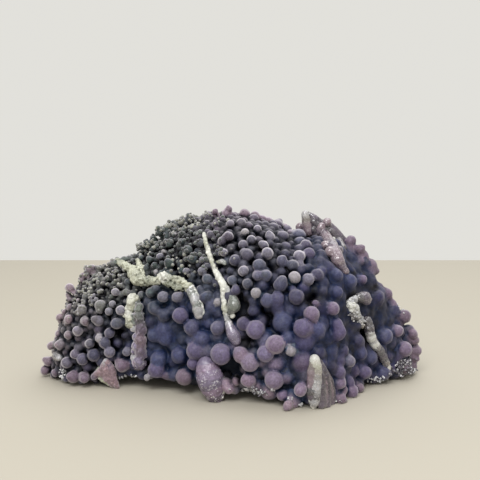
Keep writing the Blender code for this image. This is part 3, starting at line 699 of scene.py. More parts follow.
def far_enough(middle, size, spacing, cells, key):
    """Whether a grape keeps its distance from all that were noted in the cells round it."""
    around = itertools.product(*[(k - 1, k, k + 1) for k in key])
    near = [j for cell in around for j in cells.get(cell, ())]
    return all((Vector(middle) - middles[j]).length > spacing * (size + radii[j]) / 2 for j in near)


def fill(throws, lift, spacing, scale, lowest):
    """Adds one layer of grapes wherever it still has room. The layer with a lift is the upper one."""
    upper = lift > 0
    points, normals = thrown(throws)
    zone = zone_mix(points)
    sizes = zone[:, 3] * chance.uniform(*FILL_SIZES, throws) * scale
    soft = np.clip((zone[:, 4] - SOFT_FROM) / SOFT_RANGE, 0, 1)
    lifts = lift - (SUNK * (normals[:, 1] < 0) + SOFT_SUNK * soft) * upper
    points = points + normals * (lifts * sizes)[:, None]
    gaps = np.linalg.norm(points[:, None] - obstacles[None, :, :3], axis=2) - obstacles[:, 3]
    free = (gaps.min(1) > RIDGE_ROOM * sizes) & (pit_gap(points) > PIT_ROOM * sizes)
    free &= (normals[:, 2] > lowest) & (points[:, 2] > FOOT_ROOM * sizes)
    cells = {}
    for i in range(0 if upper else len(middles), len(middles)):
        cells.setdefault(tuple(int(v // CELL) for v in middles[i]), []).append(i)
    for middle, normal, size in zip(points[free], normals[free], sizes[free]):
        key = tuple(int(v // CELL) for v in middle)
        if far_enough(middle, size, spacing, cells, key):
            cells.setdefault(key, []).append(len(middles))
            add_grape(Vector(middle), Vector(normal), size, "")


layer_starts = []
for layer in LAYERS:
    layer_starts.append(len(middles))
    fill(*layer)
centres = np.array(middles)
growth = np.array(directions)
radii = np.array(radii)
deep = np.arange(len(centres)) >= layer_starts[1]
print("grapes:", len(centres), "of which in the lower layer", int(deep.sum()))

# %% [markdown]
# ## One skin for a thousand grapes
# Balls that are only pushed into each other keep sharp circles where they meet. Metaballs melt
# together, but all by the same amount. Here the skin comes from a field of distances: a grid of
# numbers that say how far each point lies from the stone, below zero inside it. Each grape is stamped
# into the grid with its own amount of melting, and the skin is drawn where the field passes zero.
# The grid also remembers which grape is nearest, so each one can have its own shade later.

# %% Reading and refining a grid
def grid_axes(low, high, step):
    """The grid's places along X, Y and Z."""
    counts = np.ceil((high - low) / step).astype(int) + 1
    return [low[i] + step * np.arange(counts[i]) for i in range(3)]


def sample(field, points):
    """Values of a field between its grid points, for points given in grid steps."""
    base = np.clip(np.floor(points).astype(int), 0, np.array(field.shape) - 2)
    part = np.clip(points - base, 0, 1)
    total = 0
    for corner in itertools.product((0, 1), repeat=3):
        weight = np.prod(np.where(corner, part, 1 - part), axis=1)
        total = total + weight * field[tuple((base + corner).T)]
    return total


def refined(coarse, counts, times):
    """A grid with points this many times as close, from a coarse one."""
    for axis in range(3):
        place = np.arange(counts[axis]) / times
        base = np.floor(place).astype(int)
        part = (place - base).astype(np.float32).reshape([-1 if i == axis else 1 for i in range(3)])
        coarse = np.take(coarse, base, axis) * (1 - part) + np.take(coarse, base + 1, axis) * part
    return coarse


# %% The field of the mound
STEP = 0.6
LOW = np.array((-97.0, -46.0, -1.5))
HIGH = np.array((98.0, 59.0, 87.0))
COARSE = 4  # how many grid steps lie between the points where the mound is measured
SOFT_CORE, CRISP_CORE = 1.0, 4.2  # how deep the bare core lies under melted and under separate grapes
axes = [axis.astype(np.float32) for axis in grid_axes(LOW, HIGH, STEP)]
counts = [len(axis) for axis in axes]


def coarse_places():
    """The places where the mound is measured, as an array with one axis for each of X, Y and Z."""
    return LOW + np.stack(np.indices([n // COARSE + 2 for n in counts]), 3) * COARSE * STEP


def mound_field():
    """Distance from the mound's own surface."""
    places = coarse_places()
    far = np.empty(places.shape[:3], np.float32)
    for place in np.ndindex(far.shape):
        here = Vector(places[place])
        nearest, normal, _, gap = mound.find_nearest(here)
        far[place] = gap if (here - nearest).dot(normal) > 0 else -gap
    return refined(far, counts, COARSE)


def core_depth():
    """How deep the core lies under the mound's surface."""
    places = coarse_places()
    depth = SOFT_CORE + (CRISP_CORE - SOFT_CORE) * crispness(zone_mix(places.reshape(-1, 3))[:, 4])
    return refined(depth.reshape(places.shape[:3]).astype(np.float32), counts, COARSE)


mound_far = mound_field()
field = mound_far + core_depth()
for point, radius in zip(pit_points, pit_radii):
    x, y, z = np.ix_(*[(axis - middle) ** 2 for axis, middle in zip(axes, point)])
    field = np.maximum(field, radius + CRISP_CORE - np.sqrt(x + y + z))
print("grid:", field.shape, "points", STEP, "mm apart")

# %% [markdown]
# A grape isn't a perfect ball: it is drawn out a little along the way it grew, and it stands on a
# stalk that reaches down to the core. Both are one distance: the nearest point on a short line from
# the grape's middle down to its foot. Small random waves in the field make all of them uneven.

# %% One grape's stamp
STALK = 0.62  # radius of the stalk, against the grape's
STALK_LENGTH = 5.0
REACH = 4.5  # how far round a grape the grid is worked out, in mm


def melt(one, other, width):
    """The smaller of two distances, rounded off where they are about equal."""
    blend = np.maximum(width - np.abs(one - other), 0)
    return np.minimum(one, other) - blend * blend / (4 * width)


def stamp(field, owner, low, step, number, middle, direction, radius, stretch, width, stalk=STALK):
    """Adds one grape and its stalk to the field, in the part of the grid that it reaches."""
    first = np.maximum(((middle - radius - REACH - low) / step).astype(int), 0)
    last = np.minimum(((middle + radius + REACH - low) / step).astype(int) + 2, field.shape)
    part = tuple(slice(a, b) for a, b in zip(first, last))
    x, y, z = np.ogrid[part]
    x, y, z = (low[i] + step * axis - middle[i] for i, axis in enumerate((x, y, z)))
    up = x * direction[0] + y * direction[1] + z * direction[2]
    square = x * x + y * y + z * z
    grape = np.sqrt(square - up * up * (1 - 1 / stretch ** 2)) - radius
    if stalk:
        down = np.clip(-up, 0, STALK_LENGTH)
        from_line = np.sqrt(np.maximum(square - up * up + (up + down) ** 2, 0))
        grape = np.minimum(grape, from_line - radius * stalk)
    grape = grape.astype(np.float32)
    old = field[part]
    owner[part] = np.where(grape < old, number, owner[part])
    field[part] = melt(old, grape, width)


def unit(rows):
    """The same directions, each of length 1."""
    return rows / np.maximum(np.linalg.norm(rows, axis=1, keepdims=True), 1e-6)


def waved(field, depth, times):
    """The field with random waves, this deep in mm and this many grid steps apart."""
    waves = chance.normal(0, 1, [n // times + 2 for n in field.shape]).astype(np.float32)
    return field + refined(waves, field.shape, times) * depth


def above_floor(field, heights):
    """The field cut off flat at height zero."""
    return np.maximum(field, -heights.astype(np.float32)[None, None, :])


print("where two skins are 1 mm off, melting over 2 mm leaves", melt(1.0, 1.0, 2.0), "mm")

# %% Stamping the grapes
STRETCHES = (0.92, 1.22)  # how much longer than wide a grape is
LEANING = 0.3  # how far it leans away from the mound's normal
MELT_SPREAD = (0.7, 1.3)
UNEVEN, UNEVEN_TIMES = 0.13, 3
owner = np.full(field.shape, -1, np.int16)
stretches = chance.uniform(*STRETCHES, len(centres))
leaning = unit(growth + chance.normal(0, LEANING, growth.shape))
melting = zone_mix(centres)[:, 4] * [LOOKS[look][4] for look in looks]
melting = melting * chance.uniform(*MELT_SPREAD, len(centres))
for i in range(len(centres)):
    stamp(field, owner, LOW, STEP, i, centres[i], leaning[i], radii[i], stretches[i], melting[i])
field = above_floor(waved(field, UNEVEN, UNEVEN_TIMES), axes[2])
volume = float((field < 0).sum()) * STEP ** 3 / 1000
print("stamped", len(centres), "grapes; inside the stone:", round(volume), "cm3")

# %% [markdown]
# The skin is drawn cell by cell. A cell of the grid that has corners on both sides of the surface gets
# one point, in the middle of the places where the surface cuts its edges, and each cut edge gets a
# four-sided face between the cells round it. Then each point slides onto the surface, which takes out
# the last of the grid's steps.


# %% Drawing the skin
def skin(field):
    """Points in grid steps, and four-sided faces, of the surface where the field is zero."""
    inside = field < 0
    counts = [n - 1 for n in field.shape]
    filled = np.zeros(counts, np.uint8)
    for corner in itertools.product((0, 1), repeat=3):
        filled += inside[tuple(slice(c, c + n) for c, n in zip(corner, counts))]
    cells = np.argwhere((filled > 0) & (filled < 8))
    number = np.full(counts, -1, np.int32)
    number[tuple(cells.T)] = np.arange(len(cells))
    total = np.zeros((len(cells), 3))
    cuts = np.zeros(len(cells))
    faces = []
    steps = np.eye(3, dtype=int)
    for axis in range(3):
        for rest in itertools.product((0, 1), repeat=2):
            start = np.insert(rest, axis, 0)
            a = field[tuple((cells + start).T)]
            b = field[tuple((cells + start + steps[axis]).T)]
            cut = (a < 0) != (b < 0)
            total[cut] += start + steps[axis] * (a[cut] / (a[cut] - b[cut]))[:, None]
            cuts += cut
        first = np.moveaxis(inside, axis, 0)[:-1]
        second = np.moveaxis(inside, axis, 0)[1:]
        edges = np.argwhere(np.moveaxis(first != second, 0, axis))
        one, two = steps[(axis + 1) % 3], steps[(axis + 2) % 3]
        ring = np.stack([number[tuple((edges - back).T)] for back in (0 * one, one, one + two, two)], 1)
        solid_first = inside[tuple(edges.T)]
        faces.append(np.where(solid_first[:, None], ring, ring[:, ::-1]))
    return cells + total / cuts[:, None], np.concatenate(faces)


# %% Sliding the points onto the surface
def slope(field, points):
    """Direction in which the field grows at each point, not of unit length."""
    nudges = 0.5 * np.eye(3)
    return np.stack([sample(field, points + n) - sample(field, points - n) for n in nudges], 1)


def settled(field, points, rounds):
    """The points moved onto the surface, by half a grid step at most in each round."""
    for _ in range(rounds):
        away = slope(field, points)
        size = np.maximum((away ** 2).sum(1), 1e-6)
        shift = away * (sample(field, points) / size)[:, None]
        points = points - np.clip(shift, -0.5, 0.5)
    return points


# %% [markdown]
# ## What each point of the skin knows
# A shader can't count grapes, so the mesh tells it. Every point of the skin gets three values: the
# tint of its grape, how frosted that grape is, and how open the spot is. Openness is found with the
# field again: a step away from an open surface the distance has grown by a full step, and in a gap
# it hasn't. Light reaches little of a gap between grapes, so the tint and the frost get painted shade:
# they fade with how low a point lies above the mound, lit at the top of a grape, and painted nearly
# black at its foot. Where grapes have melted together, the painted shade in the gaps is blue violet
# instead, because light comes through the stone, and at the dark hollows it is painted blackest.

# %% The surface with its values
OPEN_STEPS = ((0.8, 0.2), (1.8, 0.3), (3.2, 0.3), (5.0, 0.2))  # distances to look at in mm, and their weights


def nearest_grape(owner, points):
    """The number of the grape that each point belongs to, and -1 on the core."""
    place = np.clip(np.rint(points).astype(int), 0, np.array(owner.shape) - 1)
    return owner[tuple(place.T)]


def openness(field, points, normals, step):
    """1 on open ground and 0 at the bottom of a gap."""
    total = 0
    for far, weight in OPEN_STEPS:
        total = total + weight * np.clip(sample(field, points + normals * far / step) / far, 0, 1)
    return total


def drawn(field, owner, low, step, rounds):
    """The skin: points in grid steps, faces, places in mm, normals, whose grape it is, and openness."""
    points, quads = skin(field)
    points = settled(field, points, rounds)
    normals = unit(slope(field, points))
    places = low + points * step
    places[:, 2] = np.maximum(places[:, 2], 0)
    whose = nearest_grape(owner, points)
    return points, quads, places, normals, whose, openness(field, points, normals, step)


points, quads, places, normals, whose, open_share = drawn(field, owner, LOW, STEP, 2)
print("skin:", len(points), "points,", len(quads), "faces, open share", round(float(open_share.mean()), 2))

# %% The shade of each grape
TINT_SPREAD, HUE_SPREAD, FROST_SPREAD = (0.70, 1.12), (0.93, 1.07), (0.6, 1.4)
FILL_FROST = 0.3
LEAST_FROST = 0.3  # the share of its frost that a grape keeps where all have melted together
PALE_ZONE, LEAST_PALE = 0.09, 0.4  # in zones darker than this there is less frost, down to this share
# The lower layer lies in the gaps, so it is painted darker and less frosted, as shade.
DEEP_SHADE_TINT, DEEP_FROST = 0.4, 0.3  # how much of both the lower layer has
zone_at = zone_mix(centres)
tints = zone_at[:, :3] * chance.uniform(*TINT_SPREAD, (len(centres), 1))
tints = tints * chance.uniform(*HUE_SPREAD, (len(centres), 3))
frosts = np.empty(len(centres))
for i, look in enumerate(looks):
    colour, share, frosts[i] = LOOKS[look][:3]
    if colour:
        tints[i] = tints[i] * (1 - share) + np.array(colour) * share
frosts[layer_starts[0]:] = FILL_FROST
paleness = np.clip(zone_at[:, :3].mean(1) / PALE_ZONE, LEAST_PALE, 1)
frosts *= (LEAST_FROST + (1 - LEAST_FROST) * crispness(zone_at[:, 4])) * paleness
frosts = np.clip(frosts * chance.uniform(*FROST_SPREAD, len(centres)), 0, 1)
# Painted shade on the lower layer in the gaps.
tints[deep] *= DEEP_SHADE_TINT
frosts[deep] *= DEEP_FROST
print("tints from", tints.min(0).round(2), "to", tints.max(0).round(2))

# %% The painted shade of each point
# Painted shade: gaps between separate grapes are painted near black, gaps between melted grapes a dark blue
# violet, and the walls of the dark hollows blackest.
PAINTED_GAP_SHADE = np.array((0.002, 0.002, 0.004))
SOFT_GAP_SHADE = np.array((0.12, 0.25, 0.42))  # how much of its tint a gap keeps between melted grapes
# The bare core between the grapes is painted darker than its zone, as shade.
CORE_SHADE_TINT = 0.6
PIT_SHADE_REACH = 5.0  # how far from a dark hollow the dark ends, in mm
LIT_RISE = 1.1  # how high above the mound it is fully light, in radii of the zone's grapes
OPEN_GAIN, OPEN_LEAST = 1.6, 0.05  # how soon an open spot is fully light
zone_here = zone_mix(places)
skin_frost_and_shade = np.where(whose < 0, 0, frosts[whose])
skin_tint_and_shade = np.where((whose < 0)[:, None], zone_here[:, :3] * CORE_SHADE_TINT, tints[whose])
crisp = crispness(zone_here[:, 4])[:, None]
# The painted shade of the gaps, blackest near the dark hollows.
painted_gap_shade = PAINTED_GAP_SHADE * crisp + skin_tint_and_shade * SOFT_GAP_SHADE * (1 - crisp)
pit_share = np.clip(pit_gap(places) / PIT_SHADE_REACH, 0, 1)[:, None]
painted_gap_shade = PAINTED_GAP_SHADE + (painted_gap_shade - PAINTED_GAP_SHADE) * pit_share
# Painted shade: the lower a point lies above the mound and the less open it is, the further its tint goes to
# the gap's shade and the more its frost fades.
lit = np.clip(sample(mound_far, points) / zone_here[:, 3] / LIT_RISE, 0, 1)
lit *= np.clip(open_share * OPEN_GAIN + OPEN_LEAST, 0, 1)
lit = lit * lit * (3 - 2 * lit)
skin_tint_and_shade = painted_gap_shade + (skin_tint_and_shade - painted_gap_shade) * lit[:, None]
skin_frost_and_shade = skin_frost_and_shade * lit
print("mean tint of the skin:", skin_tint_and_shade.mean(0).round(3))

# %% [markdown]
# ## Finishes
# A shader is a sum of small steps, and a graph of boxes hides the sum. The class below wraps a
# socket, so that the steps can be written as ordinary Python, and each operator adds its Math node.
# Every other node comes from one method, which takes the node's type, its settings and its inputs.


# %% Shader maths as expressions
class Value:
    """A socket of a shader, which takes part in expressions."""

    def __init__(self, finish, socket):
        self.finish = finish
        self.socket = socket

    def math(self, operation, one, other):
        return self.finish.node("Math", {"operation": operation}, {0: one, 1: other})

    def __add__(self, other):
        return self.math("ADD", self, other)

    def __sub__(self, other):
        return self.math("SUBTRACT", self, other)

    def __rsub__(self, other):
        return self.math("SUBTRACT", other, self)

    def __mul__(self, other):
        return self.math("MULTIPLY", self, other)

    def __pow__(self, other):
        return self.math("POWER", self, other)

    def __rpow__(self, other):
        return self.math("POWER", other, self)

    __radd__ = __add__
    __rmul__ = __mul__

    def clipped(self):
        """The value, held between 0 and 1."""
        return self.finish.node("Clamp", {}, {"Value": self})


# %% A finish and its nodes
class Finish:
    """A material whose nodes are made in order."""

    def __init__(self, name):
        self.material = bpy.data.materials.new(name)
        self.material.use_nodes = True
        self.tree = self.material.node_tree
        self.tree.nodes.clear()

    def node(self, kind, settings, inputs, output=0):
        """Makes a node: its settings first, then the values or links of its inputs."""
        made = self.tree.nodes.new("ShaderNode" + kind)
        for name, setting in settings.items():
            setattr(made, name, setting)
        for name, value in inputs.items():
            if isinstance(value, Value):
                self.tree.links.new(value.socket, made.inputs[name])
            else:
                made.inputs[name].default_value = value
        return Value(self, made.outputs[output])

    def attribute(self, name, output="Fac"):
        """A value that the mesh brings along."""
        return self.node("Attribute", {"attribute_name": name}, {}, output)

    def noise(self, size, detail=2.0, roughness=0.5):
        """Noise between 0 and 1 with features of about this size in millimetres."""
        place = self.node("TexCoord", {}, {}, "Object")
        inputs = {"Vector": place, "Scale": 1 / (size * MM), "Detail": detail, "Roughness": roughness}
        return self.node("TexNoise", {}, inputs)

    def mix(self, share, one, other):
        """A colour between two colours."""
        return self.node("Mix", {"data_type": "RGBA"}, {0: share, 6: one, 7: other}, 2)

    def shaded(self, tint, clear, dark, share, gain, start):
        """The tint where the surface is open, and a share of the way to a dark colour, as painted shade,
        where it isn't.
        """
        return self.mix((clear * gain - start).clipped(), self.mix(share, tint, dark), tint)

    def edge(self):
        """0 where a shape faces the eye and 1 at its outline. It mixes in the painted sheen of the rim."""
        return self.node("LayerWeight", {}, {"Blend": 0.5}, "Facing")

    def bump(self, height, strength, distance):
        """A normal with bumps, this high in millimetres where the height is 1."""
        return self.node("Bump", {}, {"Height": height, "Strength": strength, "Distance": distance * MM})

    def surface(self, inputs, rim=None, share=None):
        """The finished material: one shader, and another for a painted sheen at the rim with its share where
        there is one.
        """
        shader = self.node("BsdfPrincipled", {}, inputs)
        if rim:
            rim_shader = self.node("BsdfPrincipled", {}, rim)
            shader = self.node("MixShader", {}, {0: share, 1: shader, 2: rim_shader})
        out = self.tree.nodes.new("ShaderNodeOutputMaterial")
        self.tree.links.new(shader.socket, out.inputs["Surface"])
        print("finish:", self.material.name, len(self.tree.nodes), "nodes")
        return self.material


# %% [markdown]
# ### Velvet
# A frosted grape is covered in crystals too small to see: it is soft all over and paler towards
# its rim, a sheen as velvet has. A sheen alone is too faint for that, so there are two shaders. The
# body lets some light in and reflects little, so that gaps stay dark. The rim shader is a pale colour,
# a painted sheen, and it is mixed in towards the outline, the more the more frosted the grape is.
# Noise in three sizes makes the body mottled and adds a few cloudy spots and white grains.

# %% The chalcedony
# The last colour is the rim shader's, a painted sheen of the frost at the outline.
CLOUDY, GRAIN_WHITE, PAINTED_FROST_SHEEN = (0.30, 0.28, 0.34, 1), (0.50, 0.48, 0.50, 1), (0.60, 0.56, 0.61, 1)


def chalcedony():
    finish = Finish("velvet chalcedony")
    tint = finish.attribute("tint", "Color")
    clear = finish.attribute("open")
    frost = finish.attribute("frost")
    cloud = finish.noise(3.5, 3.0)
    grain = finish.noise(0.4, 2.0, 0.6)
    mottle = finish.noise(0.9, 2.0, 0.6)
    mottled = finish.node("VectorMath", {"operation": "SCALE"}, {0: tint, "Scale": mottle * 1.4 + 0.3})
    pale = finish.mix(((cloud - 0.45) * clear * 0.35).clipped(), mottled, CLOUDY)
    colour = finish.mix((clear ** 3 * (grain - 0.45) * 1.2 * frost).clipped(), pale, GRAIN_WHITE)
    bump = finish.bump(grain + cloud * 2, 0.4, 0.12)
    body = {
        "Base Color": colour, "Roughness": 0.5, "Normal": bump, "Specular IOR Level": 0.22,
        "Subsurface Weight": 0.25, "Subsurface Radius": (0.9, 0.8, 1.4), "Subsurface Scale": 0.0013,
    }
    rim = {
        "Base Color": PAINTED_FROST_SHEEN, "Roughness": 0.6, "Normal": bump, "Specular IOR Level": 0.2,
        "Sheen Weight": 0.5, "Sheen Roughness": 0.4,
    }
    # Painted sheen: the pale rim shader's share grows towards the outline and with the frost.
    share = ((finish.edge() - 0.26) * 2.2).clipped() * (frost * 0.85 + clear ** 3 * 0.08)
    return finish.surface(body, rim, share)


velvet_chalcedony = chalcedony()

# %% [markdown]
# ### Sugar crust
# The cream ridges are fine quartz like coarse sugar. The eye sees two things: the grains are of
# uneven brightness, and the hollows between them are darker, where less light reaches. Noise does
# the first, and the value for open spots, which the mesh brings along, does the second as painted shade.

# %% The sugar crust
# The first colour is painted shade for the hollows between the grains.
CRUST_HOLLOW_SHADE, CRUST_GREY, SUGAR = (0.035, 0.038, 0.040, 1), (0.17, 0.175, 0.155, 1), (0.80, 0.80, 0.76, 1)


def sugar_crust():
    finish = Finish("sugar crust")
    tint = finish.attribute("tint", "Color")
    clear = finish.attribute("open")
    grain = finish.noise(0.45, 2.0, 0.6)
    patch = finish.noise(2.2)
    # Painted shade: the tint goes part of the way to the dark colour where the crust isn't open.
    shade = finish.shaded(tint, clear, CRUST_HOLLOW_SHADE, 0.62, 1.5, 0.15)
    grey = finish.mix(((patch - 0.5) * 2.2).clipped(), shade, CRUST_GREY)
    colour = finish.mix(((grain - 0.52) * 3.0 * clear).clipped(), grey, SUGAR)
    return finish.surface({
        "Base Color": colour, "Roughness": 0.55, "Normal": finish.bump(grain, 0.6, 0.16),
        "Subsurface Weight": 0.15, "Subsurface Radius": (1.0, 0.95, 0.85), "Subsurface Scale": 0.0006,
    })


sugary = sugar_crust()

# %% [markdown]
# ### Smoky quartz
# The fingers at the crest and at the foot are clear, grey and smooth. Real glass would need many
# bounces of light for little gain at this size. A body that light sinks into, with a wet coat over
# it, looks the same: the highlights are sharp and the edges stay soft. A paler shader is mixed in
# at the outline as painted sheen, the hollows are painted darker as shade, and milky clouds and
# white grains lie in the stone where a station is frosted.

# %% The smoky quartz
# The first colour is painted shade for the hollows, and the rim colour below is a painted sheen at the
# outline.
SMOKY_HOLLOW_SHADE, MILK, SMOKY_WHITE = (0.015, 0.012, 0.016, 1), (0.42, 0.38, 0.38, 1), (0.85, 0.84, 0.82, 1)
PAINTED_SMOKY_SHEEN = (0.50, 0.46, 0.46, 1)


def smoky_quartz():
    finish = Finish("smoky quartz")
    tint = finish.attribute("tint", "Color")
    clear = finish.attribute("open")
    frost = finish.attribute("frost")
    cloud = finish.noise(1.3, 3.0, 0.6)
    grain = finish.noise(0.5, 2.0, 0.6)
    # Painted shade where the surface isn't open.
    shade = finish.shaded(tint, clear, SMOKY_HOLLOW_SHADE, 0.7, 1.6, 0.2)
    milk = finish.mix(((cloud - 0.5) * (frost + 0.1) * 3.0).clipped(), shade, MILK)
    colour = finish.mix(((grain - 0.55) * 4.0 * frost * clear).clipped(), milk, SMOKY_WHITE)
    bump = finish.bump(cloud + grain * 0.5, 0.45, 0.2)
    body = {
        "Base Color": colour, "Roughness": 0.22, "Normal": bump, "Subsurface Weight": 0.35,
        "Subsurface Radius": (1.0, 0.85, 0.9), "Subsurface Scale": 0.0015,
        "Coat Weight": 0.8, "Coat Roughness": 0.06, "IOR": 1.54,
    }
    rim = {"Base Color": PAINTED_SMOKY_SHEEN, "Roughness": 0.3, "Normal": bump, "Coat Weight": 0.8}
    # The rim shader's share at the outline is a painted sheen.
    return finish.surface(body, rim, ((finish.edge() - 0.5) * 2.5).clipped() * (clear * 0.5))


smoky = smoky_quartz()

# %% [markdown]
# ### Druse
# A druse is a skin of tiny crystal points, and it sparkles because each flat face is tilted in its
# own way. The shader does the same: Voronoi cells share the surface out, and every cell bends the
# normal by its own random amount, so that now and then one of them catches the lamp. White specks,
# whole cells of a high random value, gather where the stone is frosted: partly white crystals and
# partly painted glints. The hollows are painted darker as shade.

# %% The druse
# The first colour is painted shade for the hollows; the second is the white of frosted crystal cells, partly
# painted glints.
DRUSE_HOLLOW_SHADE, DRUSE_WHITE_AND_GLINT = (0.020, 0.017, 0.024, 1), (0.75, 0.74, 0.75, 1)
FACET = 0.5  # size of a crystal's face, in mm


def sparkling_druse():
    finish = Finish("sparkling druse")
    tint = finish.attribute("tint", "Color")
    clear = finish.attribute("open")
    frost = finish.attribute("frost")
    place = finish.node("TexCoord", {}, {}, "Object")
    cells = finish.node("TexVoronoi", {}, {"Vector": place, "Scale": 1 / (FACET * MM)}, "Color")
    lone = finish.node("SeparateColor", {}, {0: cells}, 0)
    patch = finish.noise(2.6)
    # Painted shade where the surface isn't open.
    shade = finish.shaded(tint, clear, DRUSE_HOLLOW_SHADE, 0.7, 1.6, 0.2)
    # White specks in whole crystal cells where the druse is frosted: partly white crystals, partly painted
    # glints.
    white = ((lone + patch - 1.28) * 8.0 * (frost - 0.2) * clear).clipped()
    tilt = finish.node("VectorMath", {"operation": "SUBTRACT"}, {0: cells, 1: (0.5, 0.5, 0.5)})
    tilt = finish.node("VectorMath", {"operation": "SCALE"}, {0: tilt, "Scale": frost * 0.9})
    straight = finish.node("NewGeometry", {}, {}, "Normal")
    bent = finish.node("VectorMath", {"operation": "ADD"}, {0: straight, 1: tilt})
    bent = finish.node("VectorMath", {"operation": "NORMALIZE"}, {0: bent})
    return finish.surface({
        "Base Color": finish.mix(white, shade, DRUSE_WHITE_AND_GLINT), "Roughness": 0.25, "Normal": bent, "IOR": 1.54,
        "Subsurface Weight": 0.15, "Subsurface Radius": (1.0, 0.9, 1.1), "Subsurface Scale": 0.0008,
    })


FINISHES = {"velvet": velvet_chalcedony, "crust": sugary, "smoky": smoky, "druse": sparkling_druse()}

# %% [markdown]
# ## The crust in pieces
# One mesh of this size is slow to handle, so the skin is cut into a few pieces. The cuts run
# along the creases between grapes: a face goes where the middle of its grape lies, and no grape is
# ever cut in two. Each piece rides on the stone's one body and stands for the plain CAD solid.


# %% Making a piece
def piece(name, places, faces, material, values, smooth=True):
    """An object from places in millimetres, with a value or colour for each point."""
    mesh = bpy.data.meshes.new(name)
    sides = faces.shape[1]
    mesh.vertices.add(len(places))
    mesh.vertices.foreach_set("co", ((places - MIDDLE) * MM).astype(np.float32).ravel())
    mesh.loops.add(faces.size)
    mesh.loops.foreach_set("vertex_index", faces.astype(np.int32).ravel())
    mesh.polygons.add(len(faces))
    mesh.polygons.foreach_set("loop_start", np.arange(0, faces.size, sides, dtype=np.int32))
    mesh.update(calc_edges=True)
    mesh.polygons.foreach_set("use_smooth", np.full(len(faces), smooth))
    for key, value in values.items():
        value = np.asarray(value, np.float32)
        if value.ndim == 2:
            layer = mesh.attributes.new(key, "FLOAT_COLOR", "POINT")
            opaque = np.ones((len(value), 1), np.float32)
            layer.data.foreach_set("color", np.hstack((value, opaque)).ravel())
        else:
            layer = mesh.attributes.new(key, "FLOAT", "POINT")
            layer.data.foreach_set("value", value)
    mesh.materials.append(material)
    made = bpy.data.objects.new(name, mesh)
    bpy.context.scene.collection.objects.link(made)
    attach(made, "root")
    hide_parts("grape_agate")
    print(name, len(faces), "faces")


# %% Cutting the crust
LEFT_CUT, MIDDLE_CUT, RIGHT_CUT = -27, 0, 33  # along X, in mm: the middle one halves the back
BACK_NORMAL, BACK_FROM = 0.25, 8  # a grape of the back grows backwards, from this Y on
FACING_DOWN = -0.3
FOOT_HEIGHT, FLAT_HEIGHT = 9, 0.02  # the underside: bare core below the first, all below the second

face_middles = places[quads].mean(1)
face_normals = normals[quads].mean(1)
face_owner = nearest_grape(owner, points[quads].mean(1))
home = np.where((face_owner < 0)[:, None], face_middles, centres[face_owner])
facing = np.where(face_owner < 0, face_normals[:, 1], growth[face_owner][:, 1])
back = (facing > BACK_NORMAL) & (home[:, 1] > BACK_FROM)
under = (face_owner < 0) & (face_normals[:, 2] < FACING_DOWN) & (face_middles[:, 2] < FOOT_HEIGHT)
under |= face_middles[:, 2] < FLAT_HEIGHT
part = np.select(
    [under, back & (home[:, 0] < MIDDLE_CUT), back, home[:, 0] < LEFT_CUT, home[:, 0] > RIGHT_CUT],
    ["underside", "crust_back_left", "crust_back_right", "crust_front_left", "crust_front_right"],
    "crust_front_middle",
)
for name in np.unique(part):
    mine = quads[part == name]
    used, faces = np.unique(mine, return_inverse=True)
    values = {"tint": skin_tint_and_shade[used], "open": open_share[used], "frost": skin_frost_and_shade[used]}
    piece(str(name), places[used], faces.reshape(mine.shape), velvet_chalcedony, values)

# %% [markdown]
# ## The ridges' own skins
# Each ridge gets a grid of its own with a finer step, because its crumbs are smaller than the
# grapes. Its balls are shaken a little, crumbs are set round them, most to the front and above, and
# ripples in the field make the surface sugary.

# %% Crumbs on a ridge
BALL_SHIFT, BALL_SHRINK = 0.2, 0.4  # how far a ball is shaken and how much it shrinks, in its radii
BALL_SHADES = (0.85, 1.15)
CRUMBS_A_BALL = 4
CRUMB_SIDE = (0, -0.9, 0.5)
CRUMB_OUT = 0.95  # how far out a crumb sits, in radii of its ball
CRUMB_SIZES = (0.3, 0.75)
CRUMB_SHADE = 1.15


def with_crumbs(balls, jitter, crumbs):
    """The balls of a ridge, shaken, and the crumbs that grow on them."""
    balls = balls.copy()
    balls[:, :3] += chance.normal(0, BALL_SHIFT * jitter, (len(balls), 3)) * balls[:, 3:4]
    balls[:, 3] *= chance.uniform(1 - BALL_SHRINK * jitter, 1.0, len(balls))
    balls[:, 4:7] *= chance.uniform(*BALL_SHADES, (len(balls), 1))
    seeds = balls[chance.integers(0, len(balls), int(len(balls) * crumbs * CRUMBS_A_BALL))].copy()
    outward = unit(chance.normal(0, 1, (len(seeds), 3)) + CRUMB_SIDE)
    seeds[:, :3] += outward * seeds[:, 3:4] * CRUMB_OUT
    seeds[:, 3] = chance.uniform(*CRUMB_SIZES, len(seeds))
    seeds[:, 4:7] *= CRUMB_SHADE
    return np.concatenate((balls, seeds))


# %% Growing a ridge
FINE_STEP = 0.34
MARGIN = 2.4  # room round a ridge in its grid, in mm
OUTSIDE = 9.0  # distance that the empty grid starts with
RIPPLE_TIMES = 3
RIDGE_MELT, MOST_MELT_RADIUS = 0.35, 1.4  # melting in radii, up to a ball of this radius in mm


